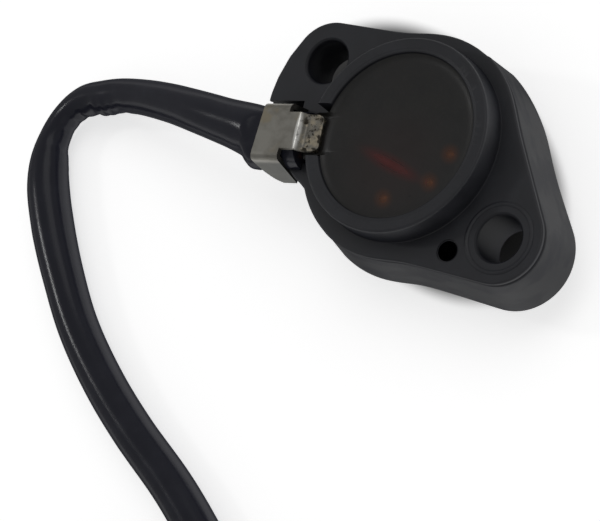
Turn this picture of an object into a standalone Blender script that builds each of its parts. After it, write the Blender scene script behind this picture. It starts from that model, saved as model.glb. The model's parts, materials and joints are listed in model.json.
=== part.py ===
"""Gear position indicator switch for a motorcycle gearbox, with its lead and plug.

The housing lies face up on the spigot that fits into the crankcase.  The rotor in the
spigot turns with the shift drum, and its sprung plunger touches one contact post for each gear.
The collar on the front holds the soldered posts under potting resin.  All lengths are metres.
"""

import math

import bmesh
import bpy
import numpy as np
from mathutils import Matrix
from mathutils import Vector

GAP = 0.0003                      # between pieces that touch

# frame: the collar's axis, so that the switch stands over the world origin
AXIS = Vector((-0.0010, 0.0010, 0.0))

# flange
SPIGOT_TOP = 0.0055               # height of the flange's back face
FACE = 0.0125                     # height of the flange's front face
DISC_R = 0.0161
EAR_X = (0.0209, -0.01975)        # bolt hole centres along X
EAR_R = (0.0063, 0.00545)
EAR_NORMAL = (math.radians(63.0), math.radians(61.5))   # direction of each ear's straight side
BOLT_HOLE_R = 0.00325
OUTLINE_SHARPNESS = 40            # higher is a tighter fillet between disc and ears
OUTLINE_START = math.radians(24.0)   # where the disc ends beside the lead, from the lead's exit
OUTLINE_POINTS = 112
ARMS = [                          # (u, v) of the corners of the two arms beside the lead
    (0.0219, -0.0123),
    (0.0230, -0.0093),
    (0.0236, -0.0070),
    (0.0237, -0.0056),
    (0.0190, 0.0033),
    (0.0169, 0.0051),
]
OVERSHOOT = 0.0010                # how far a cutter runs past the face it opens
UNION_OVERLAP = 0.0005            # how far joined shapes run into each other

# spigot, rotor chamber and web
SPIGOT_R = 0.0132
CHAMBER_R = 0.0106
WEB_BOTTOM = 0.0070
WEB_TOP = 0.0090
SEAL_GROOVE = (0.0119, 0.0020, 0.0048)
SEAL_MAJOR = 0.0132
SEAL_MINOR = 0.0010
CLIP_GROOVE = (0.01095, 0.0003, 0.0015)

# collar round the potting
COLLAR_TOP = 0.0163
COLLAR_R = (0.01405, 0.01385)
CAVITY_R = 0.01175
RESIN_TOP = 0.0153

# cable exit: u runs outwards along the lead, v across it
EXIT_ANGLE = math.radians(217.0)
U = Vector((math.cos(EXIT_ANGLE), math.sin(EXIT_ANGLE), 0.0))
V = Vector((-math.sin(EXIT_ANGLE), math.cos(EXIT_ANGLE), 0.0))
CHANNEL_FLOOR = 0.0087
NECK_V = (-0.0039, 0.0033)
NECK_END_U = 0.0180
MOUTH_V = (-0.0059, 0.0033)
COLLAR_GAP_U = (0.0095, 0.0152)
COLLAR_GAP_V = (-0.0042, 0.0034)
NECK_U = (0.0090, 0.0260)
MOUTH_END_U = 0.0300
FLOOR_STEP = 0.0001               # keeps the faces of cutters that cross from lying in one plane

# contact posts: directions of the neutral post and of the gears after it
POST_CIRCLE_R = 0.0086
POST_ANGLES = [math.radians(23.0)] + [math.radians(-8.0 - 48.0 * k) for k in range(6)]
POST_NAMES = ["neutral"] + ["gear_%d" % (k + 1) for k in range(6)]
POST_R = 0.0007
POST_HEAD_R = 0.0015
POST_HEAD = (0.0062, 0.0067)
POST_TOP = 0.0144
POST_CHAMFER = 0.0003
POST_HEAD_EDGE = 0.0001

# wires from the sleeve to the posts: colour, route as (u, v, height) from the sleeve towards
# the post, and the height at which the wire meets the side of the post
WIRE_R = 0.00055
WIRE_STEP = 0.0013
WIRE_PLAN = {
    "gear_5": ("white", [(0.0155, -0.0015, 0.0102), (0.0122, -0.0015, 0.0102)], 0.0112),
    "gear_4": ("yellow", [(0.0155, -0.0001, 0.0102), (0.0122, -0.0001, 0.0102)], 0.0112),
    "gear_3": ("blue", [(0.0155, 0.0015, 0.0102), (0.0122, 0.0015, 0.0102)], 0.0112),
    "gear_6": ("pink", [(0.0155, -0.0023, 0.0123), (0.0122, -0.0023, 0.0123)], 0.0129),
    "neutral": ("light_green", [(0.0155, -0.0007, 0.0123), (0.0122, -0.0006, 0.0123),
                                (0.0085, 0.0004, 0.0123)], 0.0129),
    "gear_1": ("red", [(0.0155, 0.0007, 0.0123), (0.0122, 0.0008, 0.0123),
                       (0.0085, 0.0019, 0.0129), (0.0041, 0.0024, 0.0139),
                       (-0.0040, 0.0053, 0.0142)], 0.0137),
    "gear_2": ("orange", [(0.0155, 0.0021, 0.0123), (0.0122, 0.0022, 0.0123),
                          (0.0085, 0.0026, 0.0114), (0.0054, 0.0039, 0.0114),
                          (0.0026, 0.0062, 0.0122)], 0.0129),
}

# potting: the tongue that runs out round the wires
TONGUE_U = (0.0100, 0.0150)
TONGUE_BOTTOM = WEB_TOP + 0.0004
TONGUE_TOP = RESIN_TOP - 0.0010

# clamp: a strip of sheet with a flat top, two side legs and a tab set in the potting
CLAMP_SHEET = 0.0008
CLAMP_TOP = 0.0161                # mid height of the flat top
CLAMP_OUTER_U = 0.0222
CLAMP_SHOULDER_U = 0.0176
CLAMP_BEND_U = 0.0155
CLAMP_WIDE_V = 0.0035             # half widths of the top and of its neck
CLAMP_NECK_V = 0.0024
CLAMP_KNEE = (0.0044, 0.0151)     # v and height
CLAMP_FOOT = (0.0050, 0.0095)
CLAMP_FOOT_SKEW = 0.0002          # the far foot stands this much wider
CLAMP_OUTER_FLARE = 0.0004        # the feet stand this much further out than the top
CLAMP_INNER_FLARE = (0.0008, 0.0012)
CLAMP_STEP = (0.0010, 0.0008)     # run and drop from the bend to the step
CLAMP_TAB_TIP = (0.0120, 0.0151)  # u and mid height

# rotor
ROTOR_R = 0.0102
ROTOR_Z = (0.0018, 0.0050)
HUB_R = 0.0050
HUB_BOTTOM = 0.0003
PIVOT_R = 0.0016
PIVOT_TOP = 0.0080
PIVOT_CHAMFER = 0.0003
DRIVE_SLOT = (0.0013, 0.0065, 0.0016)      # half width, half length, top
STRAP_GROOVE = (-0.0002, 0.0099, 0.0012, 0.0006)   # start, end, half width, depth
STRAP = (0.0056, 0.0096, 0.0009, 0.0003)   # start, end, half width, thickness
PLUNGER_R = 0.0008
PLUNGER_BOTTOM = 0.0040
PLUNGER_NOSE = [(0.0003, 0.0001), (0.0006, 0.0004)]     # radius, and depth below the tip
PLUNGER_NOSE_DEPTH = 0.0009
SPRING_LIFT = 0.0001
SPRING_R = 0.0006
SPRING_WIRE_R = 0.00011
SPRING_TURNS = 3.5
SPRING_POINTS = 32
CLIP_R_IN = 0.0088
CLIP_GAP_HALF = 0.0020
CLIP_GAP_ANGLE = math.radians(100.0)

# lead
LEAD_D = 0.0062
LEAD_R = LEAD_D / 2
LEAD_STEP = 0.0040
LEAD_ROUTE = [                    # x, y from the collar's axis, and height
    (-0.0126, -0.0095, 0.0123),
    (-0.0178, -0.0128, 0.0123),
    (-0.0238, -0.0153, 0.0121),
    (-0.0308, -0.0179, 0.0112),
    (-0.0388, -0.0209, 0.0092),
    (-0.0464, -0.0244, 0.0069),
    (-0.0530, -0.0288, 0.0049),
    (-0.0570, -0.0344, 0.0037),
    (-0.0566, -0.0405, 0.0032),
    (-0.0522, -0.0453, 0.0031),
    (-0.0452, -0.0490, 0.0031),
    (-0.0370, -0.0525, 0.0031),
    (-0.0280, -0.0555, 0.0031),
    (-0.0180, -0.0574, 0.0031),
    (-0.0080, -0.0583, 0.0031),
    (0.0040, -0.0586, 0.0031),
    (0.0150, -0.0598, 0.0033),
    (0.0260, -0.0616, 0.0038),
    (0.0380, -0.0628, 0.0043),
]

# coil of the spare lead, its tail and its tie
COIL_CENTRE = Vector((0.0380, -0.0988, 0.0043))
COIL_R = (0.0360, 0.0296)         # centre lines of the outer and the inner turn
TAIL_START = math.radians(180.0)  # where the tail leaves the inner turn
TAIL_BEND_R = 0.0150
TAIL_TURN = math.radians(120.0)
TAIL_POINTS = 10
TAIL_STRAIGHT = 0.0020
TIE_ANGLE = math.radians(-60.0)
TIE_WALL = 0.0009
TIE_WIDTH = 0.0060

# plug: x runs from the lead to the mating face
PLUG_BODY = (0.0190, 0.0158, 0.0098)
PLUG_EDGE = 0.0006
PLUG_AXIS_Z = PLUG_BODY[2] / 2
PLUG_ANGLE = TAIL_START - TAIL_TURN - math.pi / 2
PLUG_HEADING = Vector((math.cos(PLUG_ANGLE), math.sin(PLUG_ANGLE), 0.0))
LATCH_ARM = ((0.0030, -0.0028, -0.0005), (0.0150, 0.0028, 0.0016))   # heights from the top face
LATCH_HOOK = ((0.0128, -0.0022, 0.0010), (0.0146, 0.0022, 0.0024))
LATCH_UNDERCUT = ((0.0050, -0.0040, 0.0001), (0.0160, 0.0040, 0.0007))
PLUG_CAVITY_PITCH = 0.0034
PLUG_CAVITY = 0.0022
PLUG_CAVITY_DEPTH = 0.0120
PLUG_ROW_Z = 0.0020
LOCK_SLOT = ((0.0045, 0.0015), (0.0069, 0.0040))   # along the plug, and height
LOCK_PROUD = 0.0004
TERMINAL_COUNT = 7
TERMINAL_INSET = (0.0117, 0.0012)   # of both ends, from the mating face
BOOT_LENGTH = 0.0070
BOOT_PROFILE = [                  # radius, and distance from the end of the lead
    (0.0, BOOT_LENGTH),
    (0.0045, BOOT_LENGTH),
    (0.0045, 0.0045),
    (0.0040, 0.0040),
    (0.0040, 0.0032),
    (0.0043, 0.0028),
    (0.0043, 0.0020),
    (0.0038, 0.0016),
    (0.0038, 0.0008),
    (0.0035, 0.0),
    (0.0, 0.0),
]

COLOURS = {                       # base colour, roughness, metallic
    "black_nylon": ((0.028, 0.029, 0.031, 1.0), 0.45, 0.0),
    "resin": ((0.030, 0.024, 0.018, 1.0), 0.25, 0.0),
    "zinc_steel": ((0.45, 0.43, 0.38, 1.0), 0.42, 1.0),
    "brass": ((0.72, 0.47, 0.18, 1.0), 0.30, 1.0),
    "spring_steel": ((0.50, 0.50, 0.52, 1.0), 0.30, 1.0),
    "black_rubber": ((0.018, 0.018, 0.019, 1.0), 0.70, 0.0),
    "lead_sleeve": ((0.030, 0.031, 0.038, 1.0), 0.50, 0.0),
    "white_nylon": ((0.70, 0.69, 0.64, 1.0), 0.40, 0.0),
    "rotor_nylon": ((0.55, 0.53, 0.46, 1.0), 0.45, 0.0),
    "tie_nylon": ((0.02, 0.02, 0.02, 1.0), 0.50, 0.0),
    "wire_light_green": ((0.20, 0.50, 0.16, 1.0), 0.45, 0.0),
    "wire_red": ((0.55, 0.03, 0.02, 1.0), 0.45, 0.0),
    "wire_yellow": ((0.70, 0.50, 0.04, 1.0), 0.45, 0.0),
    "wire_white": ((0.70, 0.70, 0.66, 1.0), 0.45, 0.0),
    "wire_blue": ((0.03, 0.10, 0.42, 1.0), 0.45, 0.0),
    "wire_orange": ((0.70, 0.22, 0.03, 1.0), 0.45, 0.0),
    "wire_pink": ((0.70, 0.28, 0.32, 1.0), 0.45, 0.0),
}


# ---------------------------------------------------------------- helpers

def clear_scene():
    """Remove every object of the open file."""
    for obj in list(bpy.data.objects):
        bpy.data.objects.remove(obj, do_unlink=True)


def make_collection(name):
    """Return a new collection linked to the scene."""
    collection = bpy.data.collections.new(name)
    bpy.context.scene.collection.children.link(collection)
    return collection


def make_material(name, colour, roughness, metallic):
    """Return a plain Principled material."""
    material = bpy.data.materials.new(name)
    material.use_nodes = True
    shader = material.node_tree.nodes["Principled BSDF"]
    shader.inputs["Base Color"].default_value = colour
    shader.inputs["Roughness"].default_value = roughness
    shader.inputs["Metallic"].default_value = metallic
    return material


def link(obj, material_name):
    """Put a finished piece in the parts collection with its material."""
    PARTS.objects.link(obj)
    obj.data.materials.clear()
    obj.data.materials.append(MATERIALS[material_name])
    return obj


def cutter(obj):
    """Put a guide or a cutter in the cutters collection, hidden from renders."""
    CUTTERS.objects.link(obj)
    obj.hide_render = True
    obj.display_type = "WIRE"
    return obj


def mesh_object(name, build):
    """Return an object whose mesh is filled by build(bm)."""
    mesh = bpy.data.meshes.new(name)
    bm = bmesh.new()
    build(bm)
    bmesh.ops.recalc_face_normals(bm, faces=bm.faces)
    bm.to_mesh(mesh)
    bm.free()
    return bpy.data.objects.new(name, mesh)


def cone(name, r_low, r_high, z_low, z_high, segments=64, at=(0.0, 0.0)):
    """Return a cylinder or cone frustum standing on its lower radius."""
    def build(bm):
        bmesh.ops.create_cone(bm, cap_ends=True, segments=segments, radius1=r_low,
                              radius2=r_high, depth=z_high - z_low)
        bmesh.ops.translate(bm, vec=(at[0], at[1], (z_low + z_high) / 2), verts=bm.verts)
    return mesh_object(name, build)


def box(name, low, high):
    """Return a box between two corners."""
    low = Vector(low)
    high = Vector(high)

    def build(bm):
        bmesh.ops.create_cube(bm, size=1.0)
        bmesh.ops.scale(bm, vec=high - low, verts=bm.verts)
        bmesh.ops.translate(bm, vec=(low + high) / 2, verts=bm.verts)
    return mesh_object(name, build)


def turned(name, profile, steps=48, closed=True, angle=2 * math.pi):
    """Return a profile of (radius, height) points turned about Z with a Screw modifier."""
    def build(bm):
        verts = [bm.verts.new((r, 0.0, z)) for r, z in profile]
        for a, b in zip(verts, verts[1:]):
            bm.edges.new((a, b))
        if closed:
            bm.edges.new((verts[-1], verts[0]))
    obj = mesh_object(name, build)
    screw = obj.modifiers.new("turn", "SCREW")
    screw.steps = steps
    screw.render_steps = steps
    screw.angle = angle
    screw.use_merge_vertices = True
    screw.merge_threshold = 0.00001
    return obj


def outline_plate(name, points, z_low, z_high):
    """Return a flat plate with the given outline, as a filled and extruded 2D curve."""
    curve = bpy.data.curves.new(name, "CURVE")
    curve.dimensions = "2D"
    curve.fill_mode = "BOTH"
    curve.extrude = (z_high - z_low) / 2
    spline = curve.splines.new("POLY")
    spline.points.add(len(points) - 1)
    for point, (x, y) in zip(spline.points, points):
        point.co = (x, y, 0.0, 1.0)
    spline.use_cyclic_u = True
    obj = bpy.data.objects.new(name, curve)
    obj.location.z = (z_low + z_high) / 2
    return obj


def tube(name, points, radius, resolution=2):
    """Return a round tube with filled ends along a list of points."""
    curve = bpy.data.curves.new(name, "CURVE")
    curve.dimensions = "3D"
    curve.bevel_depth = radius
    curve.bevel_resolution = resolution
    curve.use_fill_caps = True
    spline = curve.splines.new("POLY")
    spline.points.add(len(points) - 1)
    for point, place in zip(spline.points, points):
        point.co = (place[0], place[1], place[2], 1.0)
    return bpy.data.objects.new(name, curve)


def as_mesh(obj):
    """Return a mesh copy of a curve object or of an object with modifiers, welded and closed."""
    bpy.context.scene.collection.objects.link(obj)
    bpy.context.view_layer.update()
    evaluated = obj.evaluated_get(bpy.context.evaluated_depsgraph_get())
    mesh = bpy.data.meshes.new_from_object(evaluated)
    matrix = obj.matrix_world.copy()
    name = obj.name
    bpy.data.objects.remove(obj, do_unlink=True)
    bm = bmesh.new()
    bm.from_mesh(mesh)
    bmesh.ops.remove_doubles(bm, verts=bm.verts, dist=0.000001)
    bmesh.ops.recalc_face_normals(bm, faces=bm.faces)
    bm.to_mesh(mesh)
    bm.free()
    solid = bpy.data.objects.new(name, mesh)
    solid.matrix_world = matrix
    return solid


def combine(obj, other, operation):
    """Add an EXACT Boolean with another object."""
    modifier = obj.modifiers.new(operation.lower(), "BOOLEAN")
    modifier.operation = operation
    modifier.solver = "EXACT"
    modifier.object = other


def place(obj, location=(0.0, 0.0, 0.0), turn=0.0):
    """Set an object down relative to the collar's axis."""
    obj.location = Vector(obj.location) + AXIS + Vector(location)
    obj.rotation_euler.z = turn
    return obj


def smooth_path(points, spacing):
    """Return points at an even spacing on a Catmull-Rom curve through the given points."""
    route = [Vector(p) for p in points]
    route = [2 * route[0] - route[1]] + route + [2 * route[-1] - route[-2]]
    between = 24
    dense = []
    for a, b, c, d in zip(route, route[1:], route[2:], route[3:]):
        for t in np.linspace(0.0, 1.0, between, endpoint=False):
            dense.append(0.5 * (2 * b + (c - a) * t + (2 * a - 5 * b + 4 * c - d) * t ** 2
                                + (3 * b - a - 3 * c + d) * t ** 3))
    dense.append(route[-2])
    dense = np.array([tuple(p) for p in dense])
    length = np.concatenate([[0.0], np.cumsum(np.linalg.norm(np.diff(dense, axis=0), axis=1))])
    count = max(2, round(length[-1] / spacing) + 1)
    even = np.linspace(0.0, length[-1], count)
    axes = [np.interp(even, length, dense[:, k]) for k in range(3)]
    return list(zip(*axes))


# ---------------------------------------------------------------- housing

def flange_radius(angle):
    """Distance from the collar's axis to the flange's edge in one direction."""
    ear = 0 if math.cos(angle) > 0 else 1
    centre = abs(EAR_X[ear])
    radius = EAR_R[ear]
    bearing = abs(math.atan2(math.sin(angle), abs(math.cos(angle))))
    corner = math.atan2(radius * math.sin(EAR_NORMAL[ear]),
                        centre + radius * math.cos(EAR_NORMAL[ear]))
    if bearing < corner:
        reach = centre * math.cos(bearing) + math.sqrt(radius ** 2
                                                       - (centre * math.sin(bearing)) ** 2)
    else:
        side = centre * math.cos(EAR_NORMAL[ear]) + radius
        reach = side / math.cos(min(bearing - EAR_NORMAL[ear], 0.0))
    power = OUTLINE_SHARPNESS
    return (DISC_R ** power + reach ** power) ** (1 / power)


def flange_outline():
    """Outline of the flange: disc, two ears and the two arms beside the lead."""
    start = EXIT_ANGLE - 2 * math.pi + OUTLINE_START
    points = []
    for angle in np.linspace(start, math.pi, OUTLINE_POINTS):
        reach = flange_radius(angle)
        points.append((reach * math.cos(angle), reach * math.sin(angle)))
    for u, v in ARMS:
        place_uv = U * u + V * v
        points.append((place_uv.x, place_uv.y))
    return points


def channel_cutter(name, u_range, v_range, z_low):
    """Box cutter along the lead's exit direction."""
    obj = box(name, (u_range[0], v_range[0], z_low),
              (u_range[1], v_range[1], COLLAR_TOP + OVERSHOOT))
    return cutter(place(obj, turn=EXIT_ANGLE))


def housing_holes():
    """Round cutters of the housing: potting well, rotor chamber, pivot, bolts, posts, grooves."""
    cuts = [
        cone("cut_potting", CAVITY_R, CAVITY_R, WEB_TOP, COLLAR_TOP + OVERSHOOT),
        cone("cut_chamber", CHAMBER_R, CHAMBER_R, -OVERSHOOT, WEB_BOTTOM),
        cone("cut_pivot", PIVOT_R + GAP, PIVOT_R + GAP, WEB_BOTTOM - OVERSHOOT, PIVOT_TOP + GAP, 24),
    ]
    for side, x in zip(("right", "left"), EAR_X):
        cuts.append(cone("cut_bolt_" + side, BOLT_HOLE_R, BOLT_HOLE_R, SPIGOT_TOP - OVERSHOOT,
                         FACE + OVERSHOOT, 40, at=(x, 0.0)))
    for post, angle in zip(POST_NAMES, POST_ANGLES):
        cuts.append(cone("cut_" + post, POST_R + GAP, POST_R + GAP, WEB_BOTTOM - OVERSHOOT,
                         WEB_TOP + OVERSHOOT, 12, at=post_place(angle)))
    r_in, low, high = SEAL_GROOVE
    cuts.append(turned("cut_seal", [(SPIGOT_R + OVERSHOOT, high), (SPIGOT_R + OVERSHOOT, low),
                                    (r_in, low), (r_in, high)], 64))
    r_out, low, high = CLIP_GROOVE
    cuts.append(turned("cut_clip", [(r_out, high), (r_out, low),
                                    (CHAMBER_R - OVERSHOOT, low),
                                    (CHAMBER_R - OVERSHOOT, high)], 64))
    return cuts


def make_housing():
    """Flange, spigot and collar in one moulding, hollowed for potting, posts and rotor."""
    housing = as_mesh(place(outline_plate("housing", flange_outline(), SPIGOT_TOP, FACE)))
    link(housing, "black_nylon")
    spigot = place(cone("spigot", SPIGOT_R, SPIGOT_R, 0.0, SPIGOT_TOP + UNION_OVERLAP))
    collar = place(cone("collar", COLLAR_R[0], COLLAR_R[1], FACE - UNION_OVERLAP, COLLAR_TOP, 72))
    for part in (spigot, collar):
        combine(housing, cutter(part), "UNION")
    for cut in housing_holes():
        combine(housing, cutter(place(cut)), "DIFFERENCE")
    gaps = [
        channel_cutter("cut_collar_gap", COLLAR_GAP_U, COLLAR_GAP_V, FACE - FLOOR_STEP),
        channel_cutter("cut_neck", NECK_U, NECK_V, CHANNEL_FLOOR),
        channel_cutter("cut_mouth", (NECK_END_U, MOUTH_END_U), MOUTH_V, CHANNEL_FLOOR - FLOOR_STEP),
    ]
    for gap in gaps:
        combine(housing, gap, "DIFFERENCE")


def make_seal():
    """Rubber ring in the spigot's groove."""
    z_mid = (SEAL_GROOVE[1] + SEAL_GROOVE[2]) / 2
    sides = 8
    ring = []
    for k in range(sides):
        a = math.pi / 2 - 2 * math.pi * k / sides
        ring.append((SEAL_MAJOR + SEAL_MINOR * math.cos(a), z_mid + SEAL_MINOR * math.sin(a)))
    link(place(turned("o_ring", ring, 40)), "black_rubber")


# ---------------------------------------------------------------- posts, wires and potting

def post_place(angle):
    """Centre of a contact post from the collar's axis."""
    return Vector((POST_CIRCLE_R * math.cos(angle), POST_CIRCLE_R * math.sin(angle), 0.0))


def make_posts():
    """One brass contact post for each gear, headed under the web and soldered at the top."""
    low, high = POST_HEAD
    edge = POST_HEAD_EDGE
    profile = [(0.0, POST_TOP), (POST_R - POST_CHAMFER, POST_TOP),
               (POST_R, POST_TOP - POST_CHAMFER), (POST_R, high), (POST_HEAD_R, high),
               (POST_HEAD_R, low + edge), (POST_HEAD_R - edge, low), (0.0, low)]
    for name, angle in zip(POST_NAMES, POST_ANGLES):
        post = turned("contact_post_" + name, profile, 12, closed=False)
        link(place(post, post_place(angle)), "brass")


def wire_points(name, route, end_height):
    """Smooth route of one wire from the end of the sleeve to the side of its post."""
    post = post_place(POST_ANGLES[POST_NAMES.index(name)])
    points = [U * u + V * v + Vector((0.0, 0.0, z)) for u, v, z in route]
    last = Vector((points[-1].x, points[-1].y, 0.0))
    side = post - (post - last).normalized() * (POST_R + GAP)
    points.append(Vector((side.x, side.y, end_height)))
    return smooth_path(points, WIRE_STEP)


def make_wires():
    """Make the insulated wires from the sleeve to the posts, and return room for them."""
    rooms = []
    for name, (colour, route, end_height) in WIRE_PLAN.items():
        points = wire_points(name, route, end_height)
        wire = as_mesh(place(tube("wire_" + name, points, WIRE_R, 1)))
        link(wire, "wire_" + colour)
        rooms.append(cutter(as_mesh(place(tube("room_" + name, points, WIRE_R + GAP, 1)))))
    return rooms


def make_resin(rooms):
    """Potting that fills the collar round the posts and the wires, out to the lead."""
    radius = CAVITY_R - GAP
    resin = link(place(cone("potting_resin", radius, radius, WEB_TOP + GAP, RESIN_TOP)), "resin")
    tongue = box("resin_tongue", (TONGUE_U[0], NECK_V[0] + GAP, TONGUE_BOTTOM),
                 (TONGUE_U[1], NECK_V[1] - GAP, TONGUE_TOP))
    combine(resin, cutter(place(tongue, turn=EXIT_ANGLE)), "UNION")
    for name, angle in zip(POST_NAMES, POST_ANGLES):
        room = cone("room_post_" + name, POST_R + GAP, POST_R + GAP, WEB_TOP, POST_TOP + GAP, 16)
        combine(resin, cutter(place(room, post_place(angle))), "DIFFERENCE")
    for room in rooms:
        combine(resin, room, "DIFFERENCE")


# ---------------------------------------------------------------- clamp over the lead

def clamp_row(wide_u, knee_u, foot_u):
    """Points (u, v, height) across the clamp, from the foot of one leg to that of the other."""
    knee_v, knee_z = CLAMP_KNEE
    foot_v, foot_z = CLAMP_FOOT
    return [(foot_u, -foot_v, foot_z), (knee_u, -knee_v, knee_z),
            (wide_u, -CLAMP_WIDE_V, CLAMP_TOP), (wide_u, -CLAMP_NECK_V, CLAMP_TOP),
            (wide_u, CLAMP_NECK_V, CLAMP_TOP), (wide_u, CLAMP_WIDE_V, CLAMP_TOP),
            (knee_u, knee_v, knee_z), (foot_u, foot_v + CLAMP_FOOT_SKEW, foot_z)]


def make_clamp():
    """Bent strip of sheet metal: flat top, two side legs and a tab set in the potting."""
    outer = CLAMP_OUTER_U
    shoulder = CLAMP_SHOULDER_U
    knee_flare, foot_flare = CLAMP_INNER_FLARE
    run, drop = CLAMP_STEP
    tab = [(CLAMP_BEND_U, CLAMP_TOP), (CLAMP_BEND_U - run, CLAMP_TOP - drop), CLAMP_TAB_TIP]

    def build(bm):
        def row(points):
            return [bm.verts.new(p) for p in points]
        edge = row(clamp_row(outer, outer, outer + CLAMP_OUTER_FLARE))
        inner = row(clamp_row(shoulder, shoulder + knee_flare, shoulder + foot_flare))
        for k in range(len(edge) - 1):
            bm.faces.new((edge[k], edge[k + 1], inner[k + 1], inner[k]))
        ends = inner[3:5]
        for u, z in tab:
            further = row([(u, -CLAMP_NECK_V, z), (u, CLAMP_NECK_V, z)])
            bm.faces.new((ends[0], ends[1], further[1], further[0]))
            ends = further
    clamp = mesh_object("cable_clamp", build)
    thick = clamp.modifiers.new("sheet", "SOLIDIFY")
    thick.thickness = CLAMP_SHEET
    thick.offset = 0.0
    link(place(clamp, turn=EXIT_ANGLE), "zinc_steel")


# ---------------------------------------------------------------- rotor

def make_rotor():
    """Rotor disc with a pivot above, a hub with a drive slot below, and the plunger's bore."""
    low, high = ROTOR_Z
    profile = [(0.0, PIVOT_TOP), (PIVOT_R - PIVOT_CHAMFER, PIVOT_TOP),
               (PIVOT_R, PIVOT_TOP - PIVOT_CHAMFER), (PIVOT_R, high), (ROTOR_R, high),
               (ROTOR_R, low), (HUB_R, low), (HUB_R, HUB_BOTTOM), (0.0, HUB_BOTTOM)]
    rotor = link(place(turned("rotor", profile, 48, closed=False)), "rotor_nylon")
    bore = cone("cut_plunger", PLUNGER_R + GAP, PLUNGER_R + GAP, low - OVERSHOOT, high + OVERSHOOT, 16)
    wide, long, top = DRIVE_SLOT
    slot = box("cut_drive", (-wide, -long, HUB_BOTTOM - OVERSHOOT), (wide, long, top))
    start, end, wide, deep = STRAP_GROOVE
    groove = box("cut_strap", (start, -wide, low - OVERSHOOT), (end, wide, low + deep))
    combine(rotor, cutter(place(bore, post_place(POST_ANGLES[0]))), "DIFFERENCE")
    combine(rotor, cutter(place(slot, turn=POST_ANGLES[0])), "DIFFERENCE")
    combine(rotor, cutter(place(groove, turn=POST_ANGLES[0])), "DIFFERENCE")


def make_contact_strap():
    """Brass strap under the rotor that earths the plunger's spring through the hub."""
    low = ROTOR_Z[0]
    start, end, wide, thick = STRAP
    strap = box("rotor_contact_strap", (start, -wide, low), (end, wide, low + thick))
    link(place(strap, turn=POST_ANGLES[0]), "brass")


def make_plunger():
    """Sprung brass plunger that wipes over the post heads."""
    top = POST_HEAD[0] - GAP
    profile = [(0.0, top)]
    profile += [(r, top - depth) for r, depth in PLUNGER_NOSE]
    profile += [(PLUNGER_R, top - PLUNGER_NOSE_DEPTH), (PLUNGER_R, PLUNGER_BOTTOM),
                (0.0, PLUNGER_BOTTOM)]
    plunger = turned("contact_plunger", profile, 16, closed=False)
    link(place(plunger, post_place(POST_ANGLES[0])), "brass")


def make_plunger_spring():
    """Small coil spring between the strap and the plunger."""
    low = ROTOR_Z[0] + STRAP_GROOVE[3] + SPRING_LIFT + SPRING_WIRE_R
    high = PLUNGER_BOTTOM - GAP - SPRING_WIRE_R
    points = []
    for t in np.linspace(0.0, 1.0, SPRING_POINTS):
        a = 2 * math.pi * SPRING_TURNS * t
        points.append((SPRING_R * math.cos(a), SPRING_R * math.sin(a), low + (high - low) * t))
    spring = tube("plunger_spring", points, SPRING_WIRE_R, 1)
    link(place(spring, post_place(POST_ANGLES[0])), "spring_steel")


def make_clip():
    """Open spring ring in the spigot's groove that keeps the rotor in."""
    r_out, low, high = CLIP_GROOVE
    ring = [(r_out - GAP, high - GAP), (r_out - GAP, low + GAP),
            (CLIP_R_IN, low + GAP), (CLIP_R_IN, high - GAP)]
    clip = link(place(turned("rotor_clip", ring)), "spring_steel")
    gap = box("cut_clip_gap", (0.0, -CLIP_GAP_HALF, -OVERSHOOT),
              (r_out + OVERSHOOT, CLIP_GAP_HALF, high + OVERSHOOT))
    combine(clip, cutter(place(gap, turn=CLIP_GAP_ANGLE)), "DIFFERENCE")


# ---------------------------------------------------------------- lead

def coil_section(radius):
    """Outline of two turns lying side by side, down the outer side and up the inner one."""
    steps = 6
    points = []
    for centre, start in zip(COIL_R, (math.pi / 2, -math.pi / 2)):
        for step in range(steps + 1):
            a = start - math.pi * step / steps
            points.append((centre + radius * math.cos(a), COIL_CENTRE.z + radius * math.sin(a)))
    return points


def tail_points():
    """Tail of the lead, from the inner turn round a tighter bend to the plug."""
    reach = COIL_R[1] - TAIL_BEND_R
    centre = COIL_CENTRE + Vector((math.cos(TAIL_START), math.sin(TAIL_START), 0.0)) * reach
    points = []
    for t in np.linspace(0.0, 1.0, TAIL_POINTS):
        a = TAIL_START - TAIL_TURN * t
        points.append(centre + Vector((math.cos(a) * TAIL_BEND_R, math.sin(a) * TAIL_BEND_R,
                                       (PLUG_AXIS_Z - COIL_CENTRE.z) * t)))
    points.append(points[-1] + PLUG_HEADING * TAIL_STRAIGHT)
    return points


def make_lead():
    """Sleeved lead from the clamp to the coil, the coil, and the tail to the plug."""
    centre = (COIL_CENTRE.x, COIL_CENTRE.y, 0.0)
    ring = cutter(place(turned("room_coil", coil_section(LEAD_R + GAP)), centre))
    lead = as_mesh(place(tube("lead", smooth_path(LEAD_ROUTE, LEAD_STEP), LEAD_R)))
    tail = as_mesh(place(tube("lead_tail", tail_points(), LEAD_R)))
    for obj in (lead, tail):
        link(obj, "lead_sleeve")
        combine(obj, ring, "DIFFERENCE")
    link(place(turned("lead_coil", coil_section(LEAD_R)), centre), "lead_sleeve")


def make_tie():
    """Flat tie round the two turns of the coil."""
    half = (COIL_R[0] - COIL_R[1]) / 2 + LEAD_R + GAP
    mid = (COIL_R[0] + COIL_R[1]) / 2
    top = 2 * COIL_CENTRE.z
    tie = box("coil_tie", (mid - half - TIE_WALL, -TIE_WIDTH / 2, 0.0),
              (mid + half + TIE_WALL, TIE_WIDTH / 2, top))
    hole = box("cut_tie", (mid - half, -TIE_WIDTH, TIE_WALL),
               (mid + half, TIE_WIDTH, top - TIE_WALL))
    centre = (COIL_CENTRE.x, COIL_CENTRE.y, 0.0)
    link(place(tie, centre, TIE_ANGLE), "tie_nylon")
    combine(tie, cutter(place(hole, centre, TIE_ANGLE)), "DIFFERENCE")


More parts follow.
